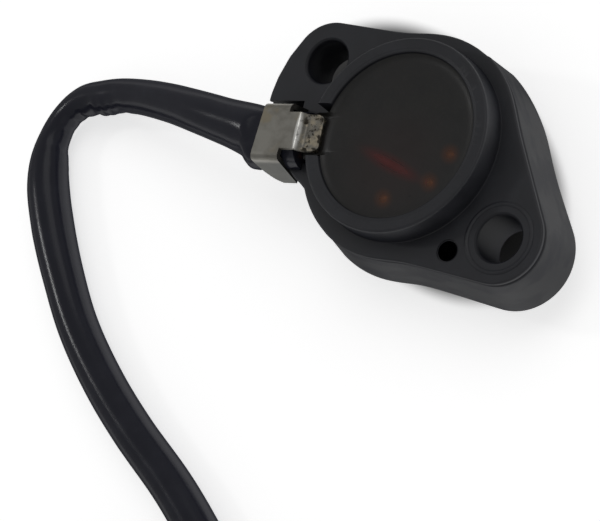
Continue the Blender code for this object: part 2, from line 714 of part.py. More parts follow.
# ---------------------------------------------------------------- plug

def place_on_plug(obj, along):
    """Set a piece built along +X on the plug's axis, at a distance from the end of the lead."""
    start = tail_points()[-1]
    spot = Vector((start.x, start.y, 0.0)) + PLUG_HEADING * along
    return place(obj, spot, PLUG_ANGLE)


def cavity_places():
    """Middle of each terminal cavity across the mating face, in two rows of four."""
    rows = (PLUG_AXIS_Z - PLUG_ROW_Z, PLUG_AXIS_Z + PLUG_ROW_Z)
    return [((k - 1.5) * PLUG_CAVITY_PITCH, z) for z in rows for k in range(4)]


def on_top(name, corners):
    """Box on the plug's top face, from corners whose heights are measured from that face."""
    (x_low, y_low, z_low), (x_high, y_high, z_high) = corners
    top = PLUG_BODY[2]
    return box(name, (x_low, y_low, top + z_low), (x_high, y_high, top + z_high))


def make_plug():
    """Plug housing with terminal cavities and a latch arm, its lock bar and terminals."""
    length, width, height = PLUG_BODY
    back = BOOT_LENGTH + 2 * GAP
    plug = box("plug_housing", (0.0, -width / 2, 0.0), (length, width / 2, height))
    bevel = plug.modifiers.new("edges", "BEVEL")
    bevel.width = PLUG_EDGE
    bevel.segments = 2
    bevel.limit_method = "ANGLE"
    link(place_on_plug(plug, back), "white_nylon")
    combine(plug, cutter(place_on_plug(on_top("latch_arm", LATCH_ARM), back)), "UNION")
    combine(plug, cutter(place_on_plug(on_top("latch_hook", LATCH_HOOK), back)), "UNION")
    combine(plug, cutter(place_on_plug(on_top("cut_latch", LATCH_UNDERCUT), back)), "DIFFERENCE")

    def build_cavities(bm):
        deep = PLUG_CAVITY_DEPTH + OVERSHOOT
        for y, z in cavity_places():
            made = bmesh.ops.create_cube(bm, size=1.0)
            bmesh.ops.scale(bm, vec=(deep, PLUG_CAVITY, PLUG_CAVITY), verts=made["verts"])
            bmesh.ops.translate(bm, vec=(length + OVERSHOOT - deep / 2, y, z), verts=made["verts"])
    cavities = mesh_object("cut_cavities", build_cavities)
    combine(plug, cutter(place_on_plug(cavities, back)), "DIFFERENCE")
    (x_low, z_low), (x_high, z_high) = LOCK_SLOT
    slot = box("cut_lock", (x_low, -width, z_low), (x_high, width, z_high))
    combine(plug, cutter(place_on_plug(slot, back)), "DIFFERENCE")
    reach = width / 2 + LOCK_PROUD
    bar = box("plug_lock_bar", (x_low + GAP, -reach, z_low + GAP), (x_high - GAP, reach, z_high - GAP))
    link(place_on_plug(bar, back), "rotor_nylon")
    half = PLUG_CAVITY / 2 - GAP
    for k, (y, z) in enumerate(cavity_places()[:TERMINAL_COUNT]):
        pin = box("terminal_%d" % (k + 1), (length - TERMINAL_INSET[0], y - half, z - half),
                  (length - TERMINAL_INSET[1], y + half, z + half))
        link(place_on_plug(pin, back), "brass")


def make_boot():
    """Rubber boot between the lead and the plug, turned about the plug's axis."""
    boot = as_mesh(turned("plug_boot", BOOT_PROFILE, 24, closed=False))
    boot.data.transform(Matrix.Rotation(math.pi / 2, 4, "Y"))
    boot.location.z = PLUG_AXIS_Z
    link(place_on_plug(boot, GAP), "black_rubber")


def main():
    """Build every piece."""
    make_housing()
    make_seal()
    make_posts()
    make_resin(make_wires())
    make_clamp()
    make_rotor()
    make_contact_strap()
    make_plunger()
    make_plunger_spring()
    make_clip()
    make_lead()
    make_tie()
    make_plug()
    make_boot()


clear_scene()
PARTS = make_collection("gear_position_switch")
CUTTERS = make_collection("cutters")
MATERIALS = {name: make_material(name, *finish) for name, finish in COLOURS.items()}
main()
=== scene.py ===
"""Gear position indicator switch for a motorcycle gearbox: its looks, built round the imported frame.

The housing lies face up on its spigot.  Every length is in metres.  u runs outwards along the
lead where it leaves the collar, v across it, and both start at the rotor's axis.
"""

import json
import math

import bmesh
import bpy
import numpy as np
from bpy.props import FloatProperty, FloatVectorProperty, PointerProperty
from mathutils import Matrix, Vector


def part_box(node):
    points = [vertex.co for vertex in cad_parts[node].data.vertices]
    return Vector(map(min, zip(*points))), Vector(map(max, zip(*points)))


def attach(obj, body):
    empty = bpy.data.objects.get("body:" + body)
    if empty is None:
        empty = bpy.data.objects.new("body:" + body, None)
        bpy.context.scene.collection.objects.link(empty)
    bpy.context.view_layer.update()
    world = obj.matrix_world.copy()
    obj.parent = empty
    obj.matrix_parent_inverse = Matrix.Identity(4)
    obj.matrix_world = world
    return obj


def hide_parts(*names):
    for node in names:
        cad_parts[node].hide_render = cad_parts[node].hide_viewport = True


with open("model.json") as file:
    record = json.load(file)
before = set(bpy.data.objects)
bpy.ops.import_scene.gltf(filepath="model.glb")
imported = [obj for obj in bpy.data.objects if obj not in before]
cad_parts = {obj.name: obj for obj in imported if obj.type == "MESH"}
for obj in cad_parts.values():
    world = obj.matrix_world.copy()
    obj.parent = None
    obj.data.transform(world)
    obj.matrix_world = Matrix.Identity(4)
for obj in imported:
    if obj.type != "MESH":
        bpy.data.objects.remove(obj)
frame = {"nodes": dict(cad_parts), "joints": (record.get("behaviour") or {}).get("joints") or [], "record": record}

bl_info = {
    "name": "Gear Position Switch",
    "version": (1, 0, 0),
    "blender": (4, 5, 0),
    "location": "View3D > Sidebar > Gear Switch",
    "description": "Builds the looks of a motorcycle's gear position switch round its frame",
    "category": "Object",
}

# ---------------------------------------------------------------- places that the frame gives

RECORD = frame["record"]
ROTOR_JOINT = next(joint for joint in frame["joints"] if joint["name"] == "rotor_turn")
AXIS = np.array([ROTOR_JOINT["pos_m"][0], ROTOR_JOINT["pos_m"][1], 0.0])
HOUSING_LOW, HOUSING_HIGH = (np.array(corner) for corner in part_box("housing"))
COLLAR_TOP = HOUSING_HIGH[2]
BACK = RECORD["mounts"][0]["pos_m"][2]
EARS = [np.mean(opening["box_m"], axis=0)[0] - AXIS[0]
        for opening in RECORD["physics"]["openings"]]
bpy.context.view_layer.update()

# ---------------------------------------------------------------- sizes of the housing

FACE = 0.0125                     # height of the flange's front face
DISC_R = 0.0161
DISC_SHIFT = 0.0004               # how far the disc's edge stands out on its lead side
DISC_SHIFT_ANGLE = math.radians(245.0)
EAR_R = (0.0063, 0.00590)
EAR_NORMAL = (math.radians(63.0), math.radians(61.5))
BLEND_POWER = 40.0                # how tight the fillets between disc and ears are
BOLT_HOLE_R = 0.00325
SPIGOT_R = 0.0132
CHAMBER_R = 0.0106
WEB_BOTTOM = 0.0070
WEB_TOP = 0.0090
COLLAR_R = (0.01405, 0.01385)
CAVITY_R = 0.01175
RESIN_TOP = 0.01525
RING_GROOVE = (0.0119, 0.0020, 0.0048)       # radius, bottom and top of the O-ring's groove
CLIP_GROOVE = (0.01095, 0.0003, 0.0015)      # the same of the rotor clip's groove
EJECTOR_MARK = (0.0165, -0.0060)
SIDE_NICK = (0.0084, 0.0149)

EXIT_ANGLE = math.radians(217.0)
U = np.array([math.cos(EXIT_ANGLE), math.sin(EXIT_ANGLE), 0.0])
V = np.array([-math.sin(EXIT_ANGLE), math.cos(EXIT_ANGLE), 0.0])
UP = np.array([0.0, 0.0, 1.0])
CHANNEL_FLOOR = 0.0087
NECK_V = (-0.0039, 0.0033)
NECK_END_U = 0.0180
MOUTH_V = (-0.0059, 0.0033)
COLLAR_GAP_V = (-0.0042, 0.0034)
ARMS = [                          # u, v of the ends of the two arms beside the lead
    (0.0223, -0.0126), (0.0235, -0.0095), (0.0240, -0.0071),
    (0.0241, -0.0058), (0.0190, 0.0033), (0.0172, 0.0053),
]

CLAMP_TOP = 0.0165
CLAMP_SHEET = 0.0008
SADDLE_FLAT = 0.0033              # half width of the flat over the lead
SADDLE_BEND = 0.0009              # radius of the bends into the legs
TAB_HALF = 0.00265
TAB_BENDS = (0.0155, 0.0142)      # u where the tab's step down starts and ends

POST_CIRCLE_R = 0.0086
POST_ANGLES = [math.radians(23.0)] + [math.radians(-8.0 - 48.0 * k) for k in range(6)]
RED_WIRE_IN = [                   # u, v and height of the red wire from the lead to its streak
    (0.0153, 0.0007, 0.0123), (0.0122, 0.0008, 0.0125), (0.0085, 0.0019, 0.0135),
    (0.0052, 0.0023, 0.0143),
]
RED_STREAK = np.array([[-0.0022, -0.0043, 0.0], [0.0066, -0.0021, 0.0]])
RED_WIRE_R = 0.00055
SOLDER_FOOT = 0.01365

# ---------------------------------------------------------------- the lead

LEAD_ROUTE = [                    # x, y from the rotor's axis, and height
    (-0.0126, -0.0095, 0.0123),
    (-0.0178, -0.0128, 0.0123),
    (-0.0238, -0.0153, 0.0121),
    (-0.0308, -0.0179, 0.0112),
    (-0.0388, -0.0209, 0.0092),
    (-0.0464, -0.0244, 0.0069),
    (-0.0530, -0.0288, 0.0049),
    (-0.0570, -0.0344, 0.0037),
    (-0.0566, -0.0405, 0.0032),
    (-0.0522, -0.0453, 0.0031),
    (-0.0452, -0.0490, 0.0031),
    (-0.0370, -0.0525, 0.0031),
    (-0.0280, -0.0555, 0.0031),
    (-0.0180, -0.0574, 0.0031),
    (-0.0080, -0.0583, 0.0031),
    (0.0040, -0.0586, 0.0031),
    (0.0150, -0.0598, 0.0033),
    (0.0260, -0.0616, 0.0038),
    (0.0380, -0.0628, 0.0043),
]
LEAD_D = 0.0062
BEND_POINT = 7                    # the route's point just before its tight bend
SLEEVE_SIDES = 48
COIL_CENTRE = np.array([0.0380, -0.0988, 0.0043])
COIL_R = (0.0360, 0.0296)         # centre lines of the outer and the inner turn
COIL_SWEEP = math.radians(630.0)
COIL_STEP_IN = (math.radians(300.0), math.radians(360.0))
TAIL_BEND_R = 0.0150
TAIL_TURN = math.radians(120.0)
PLUG_AXIS_Z = 0.0049
CLAMP_EXIT = -0.0462              # where the sleeve leaves the clamp, from its bend

# ---------------------------------------------------------------- the stage

CAMERA_PLACE = (0.17212, 0.02514, 0.25310)
CAMERA_TURN = [math.radians(angle) for angle in (20.721, 30.931, 51.151)]
LAMPS = [                         # name, place, width, and power as a share of the key light's
    ("key", (-0.05, 0.40, 0.75), 0.60, 1.0),
    ("streak", (-0.61, -0.36, 0.56), 0.09, 0.45),
    ("fill", (0.50, -0.32, 0.62), 0.50, 0.09),
]
FLOOR_GLOW = 0.63
# Painted shadow on the floor under the flange: its centre and size.
PAINTED_SHADOW_CENTRE = np.array([-0.0050, -0.0007, 0.0])   # of the shaded floor hidden by the flange
PAINTED_SHADOW_SIZE = (0.0290, 0.0165, 1.0)


# ---------------------------------------------------------------- settings

class LeadSettings(bpy.types.PropertyGroup):
    """Size and colour of the lead."""
    diameter: FloatProperty(
        name="Diameter", description="Outer diameter of the sleeve",
        default=LEAD_D, unit="LENGTH", precision=4)
    pinch: FloatProperty(
        name="Pinch", description="Narrowest diameter in the bend, as a share of the full one",
        default=0.74, subtype="FACTOR", min=0.5, max=1.0)
    colour: FloatVectorProperty(
        name="Colour", description="Colour of the vinyl sleeve",
        default=(0.0175, 0.0182, 0.0270), subtype="COLOR", min=0.0, max=1.0)


class HousingSettings(bpy.types.PropertyGroup):
    """Shape and colour of the moulded housing."""
    lip: FloatProperty(
        name="Lip", description="Size of the rounding of the face's edge",
        default=0.00035, unit="LENGTH", precision=5)
    groove: FloatProperty(
        name="Groove", description="Depth of the groove under the face's edge",
        default=0.00022, unit="LENGTH", precision=5)
    flare: FloatProperty(
        name="Flare", description="How far the side spreads towards the back",
        default=0.0012, unit="LENGTH", precision=4)
    colour: FloatVectorProperty(
        name="Colour", description="Colour of the black nylon",
        default=(0.0140, 0.0148, 0.0190), subtype="COLOR", min=0.0, max=1.0)


class ResinSettings(bpy.types.PropertyGroup):
    """Colour and clearness of the potting."""
    colour: FloatVectorProperty(
        name="Colour", description="Colour of the dark amber resin",
        default=(0.0116, 0.0113, 0.0112), subtype="COLOR", min=0.0, max=1.0)
    clearness: FloatProperty(
        name="Clearness", description="How much of what lies just below the surface shows through",
        default=0.22, subtype="FACTOR", min=0.0, max=1.0)


class StageSettings(bpy.types.PropertyGroup):
    """Camera, lights and floor."""
    lens: FloatProperty(
        name="Lens", description="Focal length of the camera on a 36 mm wide sensor, in mm",
        default=132.24, min=20.0, max=300.0)
    key: FloatProperty(
        name="Key Light", description="Power of the large light over the switch",
        default=0.9, unit="POWER", min=0.0)
    sky: FloatProperty(
        name="Surroundings", description="Strength of the light from all round",
        default=0.30, min=0.0, max=5.0)
    floor: FloatVectorProperty(
        name="Floor", description="Colour of the floor",
        default=(0.92, 0.92, 0.92), subtype="COLOR", min=0.0, max=1.0)


# ---------------------------------------------------------------- surfaces

def mesh_piece(name, points, faces, smooth=35.0):
    """Object with a closed mesh: doubled points merged, faces turned outwards, curves smooth."""
    mesh = bpy.data.meshes.new(name)
    mesh.from_pydata(points.reshape(-1, 3).tolist(), [], faces)
    bm = bmesh.new()
    bm.from_mesh(mesh)
    bmesh.ops.remove_doubles(bm, verts=bm.verts, dist=0.0000005)
    bmesh.ops.recalc_face_normals(bm, faces=bm.faces)
    bm.to_mesh(mesh)
    bm.free()
    mesh.shade_smooth()
    mesh.set_sharp_from_angle(angle=math.radians(smooth))
    piece = bpy.data.objects.new(name, mesh)
    bpy.context.scene.collection.objects.link(piece)
    return piece


def grid_faces(rows, columns, around=True, closed=False):
    """Quads of a grid: each joins a point to the next in its row and in the next row."""
    index = np.arange(rows * columns).reshape(rows, columns)
    right = np.roll(index, -1, axis=1)
    below = np.roll(index, -1, axis=0)
    corner = np.roll(below, -1, axis=1)
    quads = np.stack([index, right, corner, below], axis=-1)
    quads = quads if closed else quads[:-1]
    quads = quads if around else quads[:, :-1]
    return quads.reshape(-1, 4).tolist()


def grid_piece(name, grid, around=True, closed=False, caps=False, smooth=35.0):
    """Object from a grid of points (rows, columns, 3); caps closes the first and last row."""
    rows, columns = grid.shape[:2]
    faces = grid_faces(rows, columns, around, closed)
    if caps:
        faces.append(list(range(columns)))
        faces.append(list(range((rows - 1) * columns, rows * columns)))
    return mesh_piece(name, grid, faces, smooth)


def filleted(corners, steps=5):
    """Profile whose corners (a, b, cut) are rounded: each is a quadratic curve between the points
    that lie cut away from the corner on its two sides."""
    corners = [np.array(corner, float) for corner in corners]
    line = [corners[0][:2]]
    for before, here, after in zip(corners, corners[1:], corners[2:]):
        cut = here[2]
        if cut == 0.0:
            line.append(here[:2])
            continue
        into = here[:2] + (before[:2] - here[:2]) * cut / np.linalg.norm(before[:2] - here[:2])
        out = here[:2] + (after[:2] - here[:2]) * cut / np.linalg.norm(after[:2] - here[:2])
        t = np.linspace(0.0, 1.0, steps + 1)[:, None]
        line.extend((1 - t) ** 2 * into + 2 * t * (1 - t) * here[:2] + t ** 2 * out)
    line.append(corners[-1][:2])
    return np.array(line)


def lathe(name, profile, centre=(0.0, 0.0), steps=128, closed=False, smooth=35.0):
    """Turned piece: each profile point (r, z) goes round as r cos a, r sin a, z about a centre."""
    profile = np.asarray(profile, float)
    turn = np.linspace(0.0, 2 * math.pi, steps, endpoint=False)
    grid = np.stack([centre[0] + AXIS[0] + profile[:, :1] * np.cos(turn),
                     centre[1] + AXIS[1] + profile[:, :1] * np.sin(turn),
                     np.repeat(profile[:, 1:2], steps, axis=1)], axis=-1)
    return grid_piece(name, grid, closed=closed, smooth=smooth)


def block(name, u, v, z):
    """Closed box between ranges of u, v and height, in line with the lead's exit."""
    a, b, c = np.meshgrid(u, v, z, indexing="ij")
    points = AXIS + a[..., None] * U + b[..., None] * V + c[..., None] * UP
    faces = [[0, 1, 3, 2], [4, 6, 7, 5], [0, 4, 5, 1], [2, 3, 7, 6], [0, 2, 6, 4], [1, 5, 7, 3]]
    return mesh_piece(name, points, faces)


def keep_evaluated(piece):
    """Turn a piece's modifiers into its own mesh."""
    evaluated = piece.evaluated_get(bpy.context.evaluated_depsgraph_get())
    mesh = bpy.data.meshes.new_from_object(evaluated)
    piece.modifiers.clear()
    piece.data = mesh


def carve(piece, tools):
    """Join or cut a piece with each (operation, tool) in turn, and remove the tools."""
    for operation, tool in tools:
        step = piece.modifiers.new(operation.lower(), "BOOLEAN")
        step.operation = operation
        step.solver = "EXACT"
        step.object = tool
    keep_evaluated(piece)
    for _, tool in tools:
        bpy.data.objects.remove(tool, do_unlink=True)


def finish_piece(piece, body, material, replaced=()):
    """Give a piece its material and body, and hide the frame's nodes that it stands for."""
    piece.data.materials.clear()
    piece.data.materials.append(material)
    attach(piece, body)
    if replaced:
        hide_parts(*replaced)
    return piece


# ---------------------------------------------------------------- paths

def smooth_path(points, spacing):
    """Evenly spaced points on a Catmull-Rom curve: between b and c it is
    half of 2b + (c - a)t + (2a - 5b + 4c - d)t^2 + (3b - a - 3c + d)t^3."""
    p = np.asarray(points, float)
    p = np.vstack([2 * p[0] - p[1], p, 2 * p[-1] - p[-2]])
    a, b, c, d = (p[k:len(p) - 3 + k, None, :] for k in range(4))
    t = np.linspace(0.0, 1.0, 24, endpoint=False)[None, :, None]
    curve = 0.5 * (2 * b + (c - a) * t + (2 * a - 5 * b + 4 * c - d) * t ** 2
                   + (3 * b - a - 3 * c + d) * t ** 3)
    return respaced(np.vstack([curve.reshape(-1, 3), p[-2]]), spacing)


def respaced(line, spacing):
    """The same line with points at an even spacing along its length."""
    along = run_length(line)
    even = np.linspace(0.0, along[-1], max(3, round(along[-1] / spacing) + 1))
    return np.stack([np.interp(even, along, line[:, k]) for k in range(3)], axis=1)


def run_length(line):
    """Length along a line at each of its points: the sum of the steps before it."""
    steps = np.linalg.norm(np.diff(line, axis=0), axis=1)
    return np.concatenate([[0.0], np.cumsum(steps)])


def rings(line, radius, sides):
    """Rings of points round a line: centre + r (side cos a + rise sin a), where side is level and
    square to the line, and rise is square to both."""
    ahead = np.gradient(line, axis=0)
    ahead /= np.linalg.norm(ahead, axis=1, keepdims=True)
    side = np.cross(ahead, UP)
    side /= np.linalg.norm(side, axis=1, keepdims=True)
    rise = np.cross(side, ahead)
    turn = np.linspace(0.0, 2 * math.pi, sides, endpoint=False)
    out = (side[:, None, :] * np.cos(turn)[None, :, None]
           + rise[:, None, :] * np.sin(turn)[None, :, None])
    radius = np.broadcast_to(np.asarray(radius, float), (len(line), sides))
    return line[:, None, :] + out * radius[:, :, None], out, turn


def tube_piece(name, line, radius, sides):
    """Round tube with rounded ends: the radius falls to nothing along a quarter circle."""
    along = run_length(line)
    end = np.minimum(np.minimum(along, along[-1] - along) / radius, 1.0)
    grid, _, _ = rings(line, (radius * np.sqrt(1 - (1 - end) ** 2))[:, None], sides)
    return grid_piece(name, grid, caps=True)


def lead_line():
    """Centre line of the whole lead: its route, then a coil that goes clockwise from its top and
    steps in by one diameter, then a tighter arc of the tail to the plug."""
    route = smooth_path(LEAD_ROUTE, 0.0008)
    swept = np.linspace(0.0, COIL_SWEEP, 900)[1:]
    step_in = np.clip((swept - COIL_STEP_IN[0]) / (COIL_STEP_IN[1] - COIL_STEP_IN[0]), 0.0, 1.0)
    step_in = step_in ** 2 * (3 - 2 * step_in)
    radius = COIL_R[0] + (COIL_R[1] - COIL_R[0]) * step_in
    angle = math.pi / 2 - swept
    coil = COIL_CENTRE + np.stack([radius * np.cos(angle), radius * np.sin(angle),
                                   0 * angle], axis=1)
    start = angle[-1]
    outward = np.array([math.cos(start), math.sin(start), 0.0])
    hub = COIL_CENTRE + (COIL_R[1] - TAIL_BEND_R) * outward
    part = np.linspace(0.0, 1.0, 60)[1:]
    angle = start - TAIL_TURN * part
    tail = hub + np.stack([TAIL_BEND_R * np.cos(angle), TAIL_BEND_R * np.sin(angle),
                           (PLUG_AXIS_Z - COIL_CENTRE[2]) * part], axis=1)
    heading = np.array([math.sin(angle[-1]), -math.cos(angle[-1]), 0.0])
    stub = tail[-1] + heading * np.linspace(0.0, 0.0022, 5)[1:, None]
    return respaced(AXIS + np.vstack([route, coil, tail, stub]), 0.0006)


# ---------------------------------------------------------------- shader maths

class Signal:
    """A number that changes over a surface; arithmetic on it adds Math nodes."""

    def __init__(self, finish, socket):
        self.finish = finish
        self.socket = socket

    def math(self, operation, *values, clamp=False):
        """Result of a Math node fed with this signal and more values."""
        return self.finish.node("ShaderNodeMath", {"operation": operation, "use_clamp": clamp},
                                dict(enumerate((self,) + values)))

    def __add__(self, other):
        return self.math("ADD", other)

    def __sub__(self, other):
        return self.math("SUBTRACT", other)

    def __mul__(self, other):
        return self.math("MULTIPLY", other)

    def __rsub__(self, other):
        return self.math("MULTIPLY_ADD", -1.0, other)

    __radd__ = __add__
    __rmul__ = __mul__

    def band(self, low, high):
        """0 below low, 1 above high, and a smooth step between; high may be the smaller."""
        return self.finish.node("ShaderNodeMapRange", {"interpolation_type": "SMOOTHSTEP"},
                                {0: self, 1: low, 2: high})


class Finish:
    """A material that is being made: its nodes and its Principled shader."""

    def __init__(self, name, colour, roughness, metallic=0.0, uniform=None):
        self.material = bpy.data.materials.new(name)
        self.material.use_nodes = True
        self.tree = self.material.node_tree
        self.shader = self.tree.nodes["Principled BSDF"]
        self.set("Base Color", (*colour[:3], 1.0))
        self.set("Roughness", roughness)
        self.set("Metallic", metallic)
        for socket, value in (uniform or {}).items():
            self.set(socket, value)
        place = self.tree.nodes.new("ShaderNodeTexCoord")
        self.place = Signal(self, place.outputs["Object"])
        self.uv = Signal(self, place.outputs["UV"])

    def set(self, socket, value):
        """Set a socket of the shader to a value, or link a signal to it."""
        self.feed(self.shader.inputs[socket], value)

    def feed(self, socket, value):
        """Put a value or a signal in any socket."""
        if isinstance(value, Signal):
            self.tree.links.new(value.socket, socket)
        else:
            socket.default_value = value

    def node(self, kind, settings, inputs, output=0):
        """Add a node: its settings first, then its sockets, and return one output as a signal."""
        node = self.tree.nodes.new(kind)
        for name, value in settings.items():
            setattr(node, name, value)
        for name, value in inputs.items():
            self.feed(node.inputs[name], value)
        return Signal(self, node.outputs[output])

    def at(self, centre=(0.0, 0.0, 0.0), turn=0.0, size=(1.0, 1.0, 1.0), source=None):
        """Position in a frame with its own centre, turn about Z and size."""
        return self.node("ShaderNodeMapping", {"vector_type": "TEXTURE"},
                         {"Vector": source or self.place, "Location": centre,
                          "Rotation": (0.0, 0.0, turn), "Scale": size})

    def noise(self, scale, detail=3.0, roughness=0.55, source=None):
        """Fractal noise from 0 to 1, with a scale in lumps per metre."""
        return self.node("ShaderNodeTexNoise", {}, {"Vector": source or self.place, "Scale": scale,
                                                    "Detail": detail, "Roughness": roughness})

    def away(self, centre, turn=0.0, size=(1.0, 1.0, 1.0)):
        """Distance from a centre, in units of an ellipsoid's half axes."""
        place = self.at(centre, turn, size)
        return self.node("ShaderNodeVectorMath", {"operation": "LENGTH"}, {0: place}, 1)

    def axis(self, name, source=None):
        """One coordinate of the position."""
        return self.node("ShaderNodeSeparateXYZ", {}, {0: source or self.place}, "XYZ".index(name))

    def mix(self, share, first, second):
        """Colour between two colours."""
        first = first if isinstance(first, Signal) else (*first[:3], 1.0)
        second = second if isinstance(second, Signal) else (*second[:3], 1.0)
        return self.node("ShaderNodeMix", {"data_type": "RGBA"}, {0: share, 6: first, 7: second}, 2)

    def fade_gloss(self, low, high, share):
        """Let the gloss fade where the surface turns away, from low to high on the scale of Layer
        Weight's facing, down to the same colour without gloss; share of it is lost at high."""
        dull = self.node("ShaderNodeBsdfPrincipled", {}, {
            "Roughness": 1.0, "Specular IOR Level": 0.0})
        for name in ("Base Color", "Normal"):
            source = self.shader.inputs[name].links[0].from_socket
            self.feed(dull.socket.node.inputs[name], Signal(self, source))
        facing = self.node("ShaderNodeLayerWeight", {}, {"Blend": 0.5}, 1)
        glossy = Signal(self, self.shader.outputs[0])
        mixed = self.node("ShaderNodeMixShader", {}, {
            0: facing.band(low, high) * share, 1: glossy, 2: dull})
        self.feed(self.tree.nodes["Material Output"].inputs["Surface"], mixed)

    def bump(self, height, distance, strength=1.0):
        """Raise the surface by a height signal, whose unit is distance in metres."""
        normal = self.node("ShaderNodeBump", {}, {"Strength": strength, "Distance": distance,
                                                  "Height": height})
        self.set("Normal", normal)


# ---------------------------------------------------------------- finishes

def black_nylon(colour, bore):
    """Moulded glass-filled nylon: fine grain, satin face, scuffs, and painted light: below the face, the small
    ear's bolt hole too, it is streaked lighter grey as if lit by the floor, but not in the large ear's bore.
    """
    finish = Finish("black_nylon", colour, 0.5, 0.0, {"Specular IOR Level": 0.5})
    # Painted light: below the face, outside the large ear's bore, the nylon is streaked lighter grey.
    side = finish.axis("Z").band(FACE - 0.0008, FACE - 0.0014)
    side = side * finish.away(bore, 0.0, (0.0040, 0.0040, 0.1)).band(0.95, 1.1)
    streaks = finish.noise(170.0, 3.0, 0.5, finish.at(size=(1.0, 1.0, 0.4)))
    grain = finish.noise(9000.0, 3.0, 0.6)
    patches = finish.noise(190.0, 3.0, 0.5)
    scuff = finish.noise(1400.0, 5.0, 0.65).band(0.60, 0.74) * patches.band(0.45, 0.65)
    dusty = finish.mix(patches.band(0.35, 0.7), colour, [1.35 * c for c in colour])
    # Painted light: the sides are streaked lighter grey.
    with_painted_side_light = finish.mix(side * streaks.band(0.42, 0.60), dusty, (0.030, 0.031, 0.034))
    finish.set("Base Color", finish.mix(scuff * 0.25, with_painted_side_light, (0.060, 0.061, 0.064)))
    finish.set("Roughness", 0.50 + 0.04 * side + 0.16 * (patches - 0.5) + 0.12 * scuff)
    finish.bump(grain + 1.6 * streaks * side, 0.00002, 0.55)
    finish.fade_gloss(0.40, 0.84, 0.75)
    return finish.material


def amber_resin(colour, clearness, streak, glints):
    """Cast potting: dark amber, mottled, with specks, painted orange glints over three solder joints, and clear
    over what lies just below.
    """
    finish = Finish("dark_amber_resin", colour, 0.33, 0.0, {"IOR": 1.45})
    cloud = finish.noise(210.0, 4.0, 0.6)
    dust = finish.noise(1900.0, 3.0, 0.6)
    specks = finish.node("ShaderNodeTexVoronoi", {}, {"Vector": finish.place, "Scale": 560.0})
    specks = specks.band(0.16, 0.08) * finish.noise(300.0, 2.0).band(0.52, 0.62)
    brown = finish.mix(cloud.band(0.35, 0.65), colour, (0.0125, 0.0115, 0.0105))
    brown = finish.mix(dust.band(0.45, 0.75) * 0.35, brown, (0.0220, 0.0205, 0.0190))
    haze = finish.away(*streak[1]).band(1.6, 0.3) * 0.6
    brown = finish.mix(haze, brown, (0.0210, 0.0110, 0.0100))
    window = finish.away(*streak[0]).band(1.35, 0.25)
    brown = finish.mix(window * 0.85, brown, (0.084, 0.0170, 0.0155))
    # Painted glints: orange spots in the colour over the first three solder joints; the resin is also clear there.
    for spot in glints:
        painted_glint = finish.away(spot, 0.0, (0.0015, 0.0013, 0.004)).band(1.3, 0.1)
        brown = finish.mix(painted_glint * 0.8, brown, (0.098, 0.036, 0.017))
        window = window.math("MAXIMUM", painted_glint)
    finish.set("Base Color", finish.mix(specks * 0.6, brown, (0.004, 0.004, 0.004)))
    finish.set("Alpha", 1.0 - clearness * window)
    finish.set("Roughness", 0.36 + 0.12 * finish.noise(420.0, 4.0).band(0.35, 0.7))
    finish.bump(cloud + 0.4 * finish.noise(2600.0, 2.0), 0.00004, 0.4)
    return finish.material


def zinc_steel(tab_centre, ridge_highlight_centre):
    """Plated sheet steel gone dull: rolling lines along the strip, a painted highlight on the ridge,
    legs darkened by painted shade, and lumps and rust pits on the tab."""
    finish = Finish("dull_zinc_steel", (0.30, 0.29, 0.26), 0.42, 1.0)
    lines = finish.noise(900.0, 3.0, 0.6, finish.at(turn=EXIT_ANGLE, size=(8.0, 1.0, 1.0)))
    stain = finish.noise(330.0, 4.0, 0.6)
    near_tab = finish.away(tab_centre, EXIT_ANGLE, (0.0021, 0.0034, 0.0030)).band(1.2, 0.8)
    pits = finish.noise(900.0, 4.0, 0.6).band(0.50, 0.60) * near_tab
    shade = finish.mix(stain.band(0.35, 0.7), (0.31, 0.30, 0.27), (0.22, 0.21, 0.185))
    # Painted shade: the legs, below the saddle's top, are darker.
    leg = finish.axis("Z").band(0.0157, 0.0146)
    shade = finish.mix(leg, shade, (0.088, 0.088, 0.079))
    warm = finish.noise(260.0, 3.0).band(0.55, 0.68) * (1.0 - leg)
    shade = finish.mix(warm * 0.45, shade, (0.30, 0.24, 0.14))
    # Painted highlight: a near-white strip along the tab's ridge.
    ridge = finish.away(ridge_highlight_centre, EXIT_ANGLE, (0.00050, 0.0032, 0.0012)).band(1.1, 0.5)
    shade = finish.mix(ridge, shade, (0.85, 0.84, 0.80))
    blotch = finish.noise(800.0, 3.0, 0.6).band(0.40, 0.62) * near_tab
    shade = finish.mix(blotch * (1.0 - ridge), shade, (0.42, 0.37, 0.28))
    finish.set("Base Color", finish.mix(pits, shade, (0.030, 0.024, 0.014)))
    finish.set("Metallic", 1.0 - 0.75 * pits)
    finish.set("Roughness", 0.34 + 0.16 * stain + 0.25 * pits + 0.06 * lines - 0.12 * ridge)
    finish.bump(lines * 0.5 + stain - 1.3 * pits, 0.00004, 0.6)
    return finish.material


def vinyl_sleeve(colour):
    """Soft vinyl tubing: faint lengthwise drawing lines, a dusty bloom and a waxy sheen."""
    finish = Finish("vinyl_sleeve", colour, 0.4, 0.0, {"IOR": 1.40, "Specular IOR Level": 0.36})
    drawn = finish.noise(24.0, 3.0, 0.5, finish.at(size=(40.0, 1.0, 1.0), source=finish.uv))
    bloom = finish.noise(240.0, 4.0, 0.6)
    grain = finish.noise(5200.0, 2.0, 0.5)
    dusty = bloom.band(0.42, 0.72) * 0.5
    finish.set("Base Color", finish.mix(dusty, colour, (0.024, 0.025, 0.036)))
    finish.set("Roughness", 0.15 + 0.08 * bloom + 0.05 * drawn)
    finish.bump(grain * 0.3 + drawn * 1.2 + bloom * 2.0, 0.00002, 0.5)
    finish.fade_gloss(0.36, 0.74, 0.92)
    return finish.material


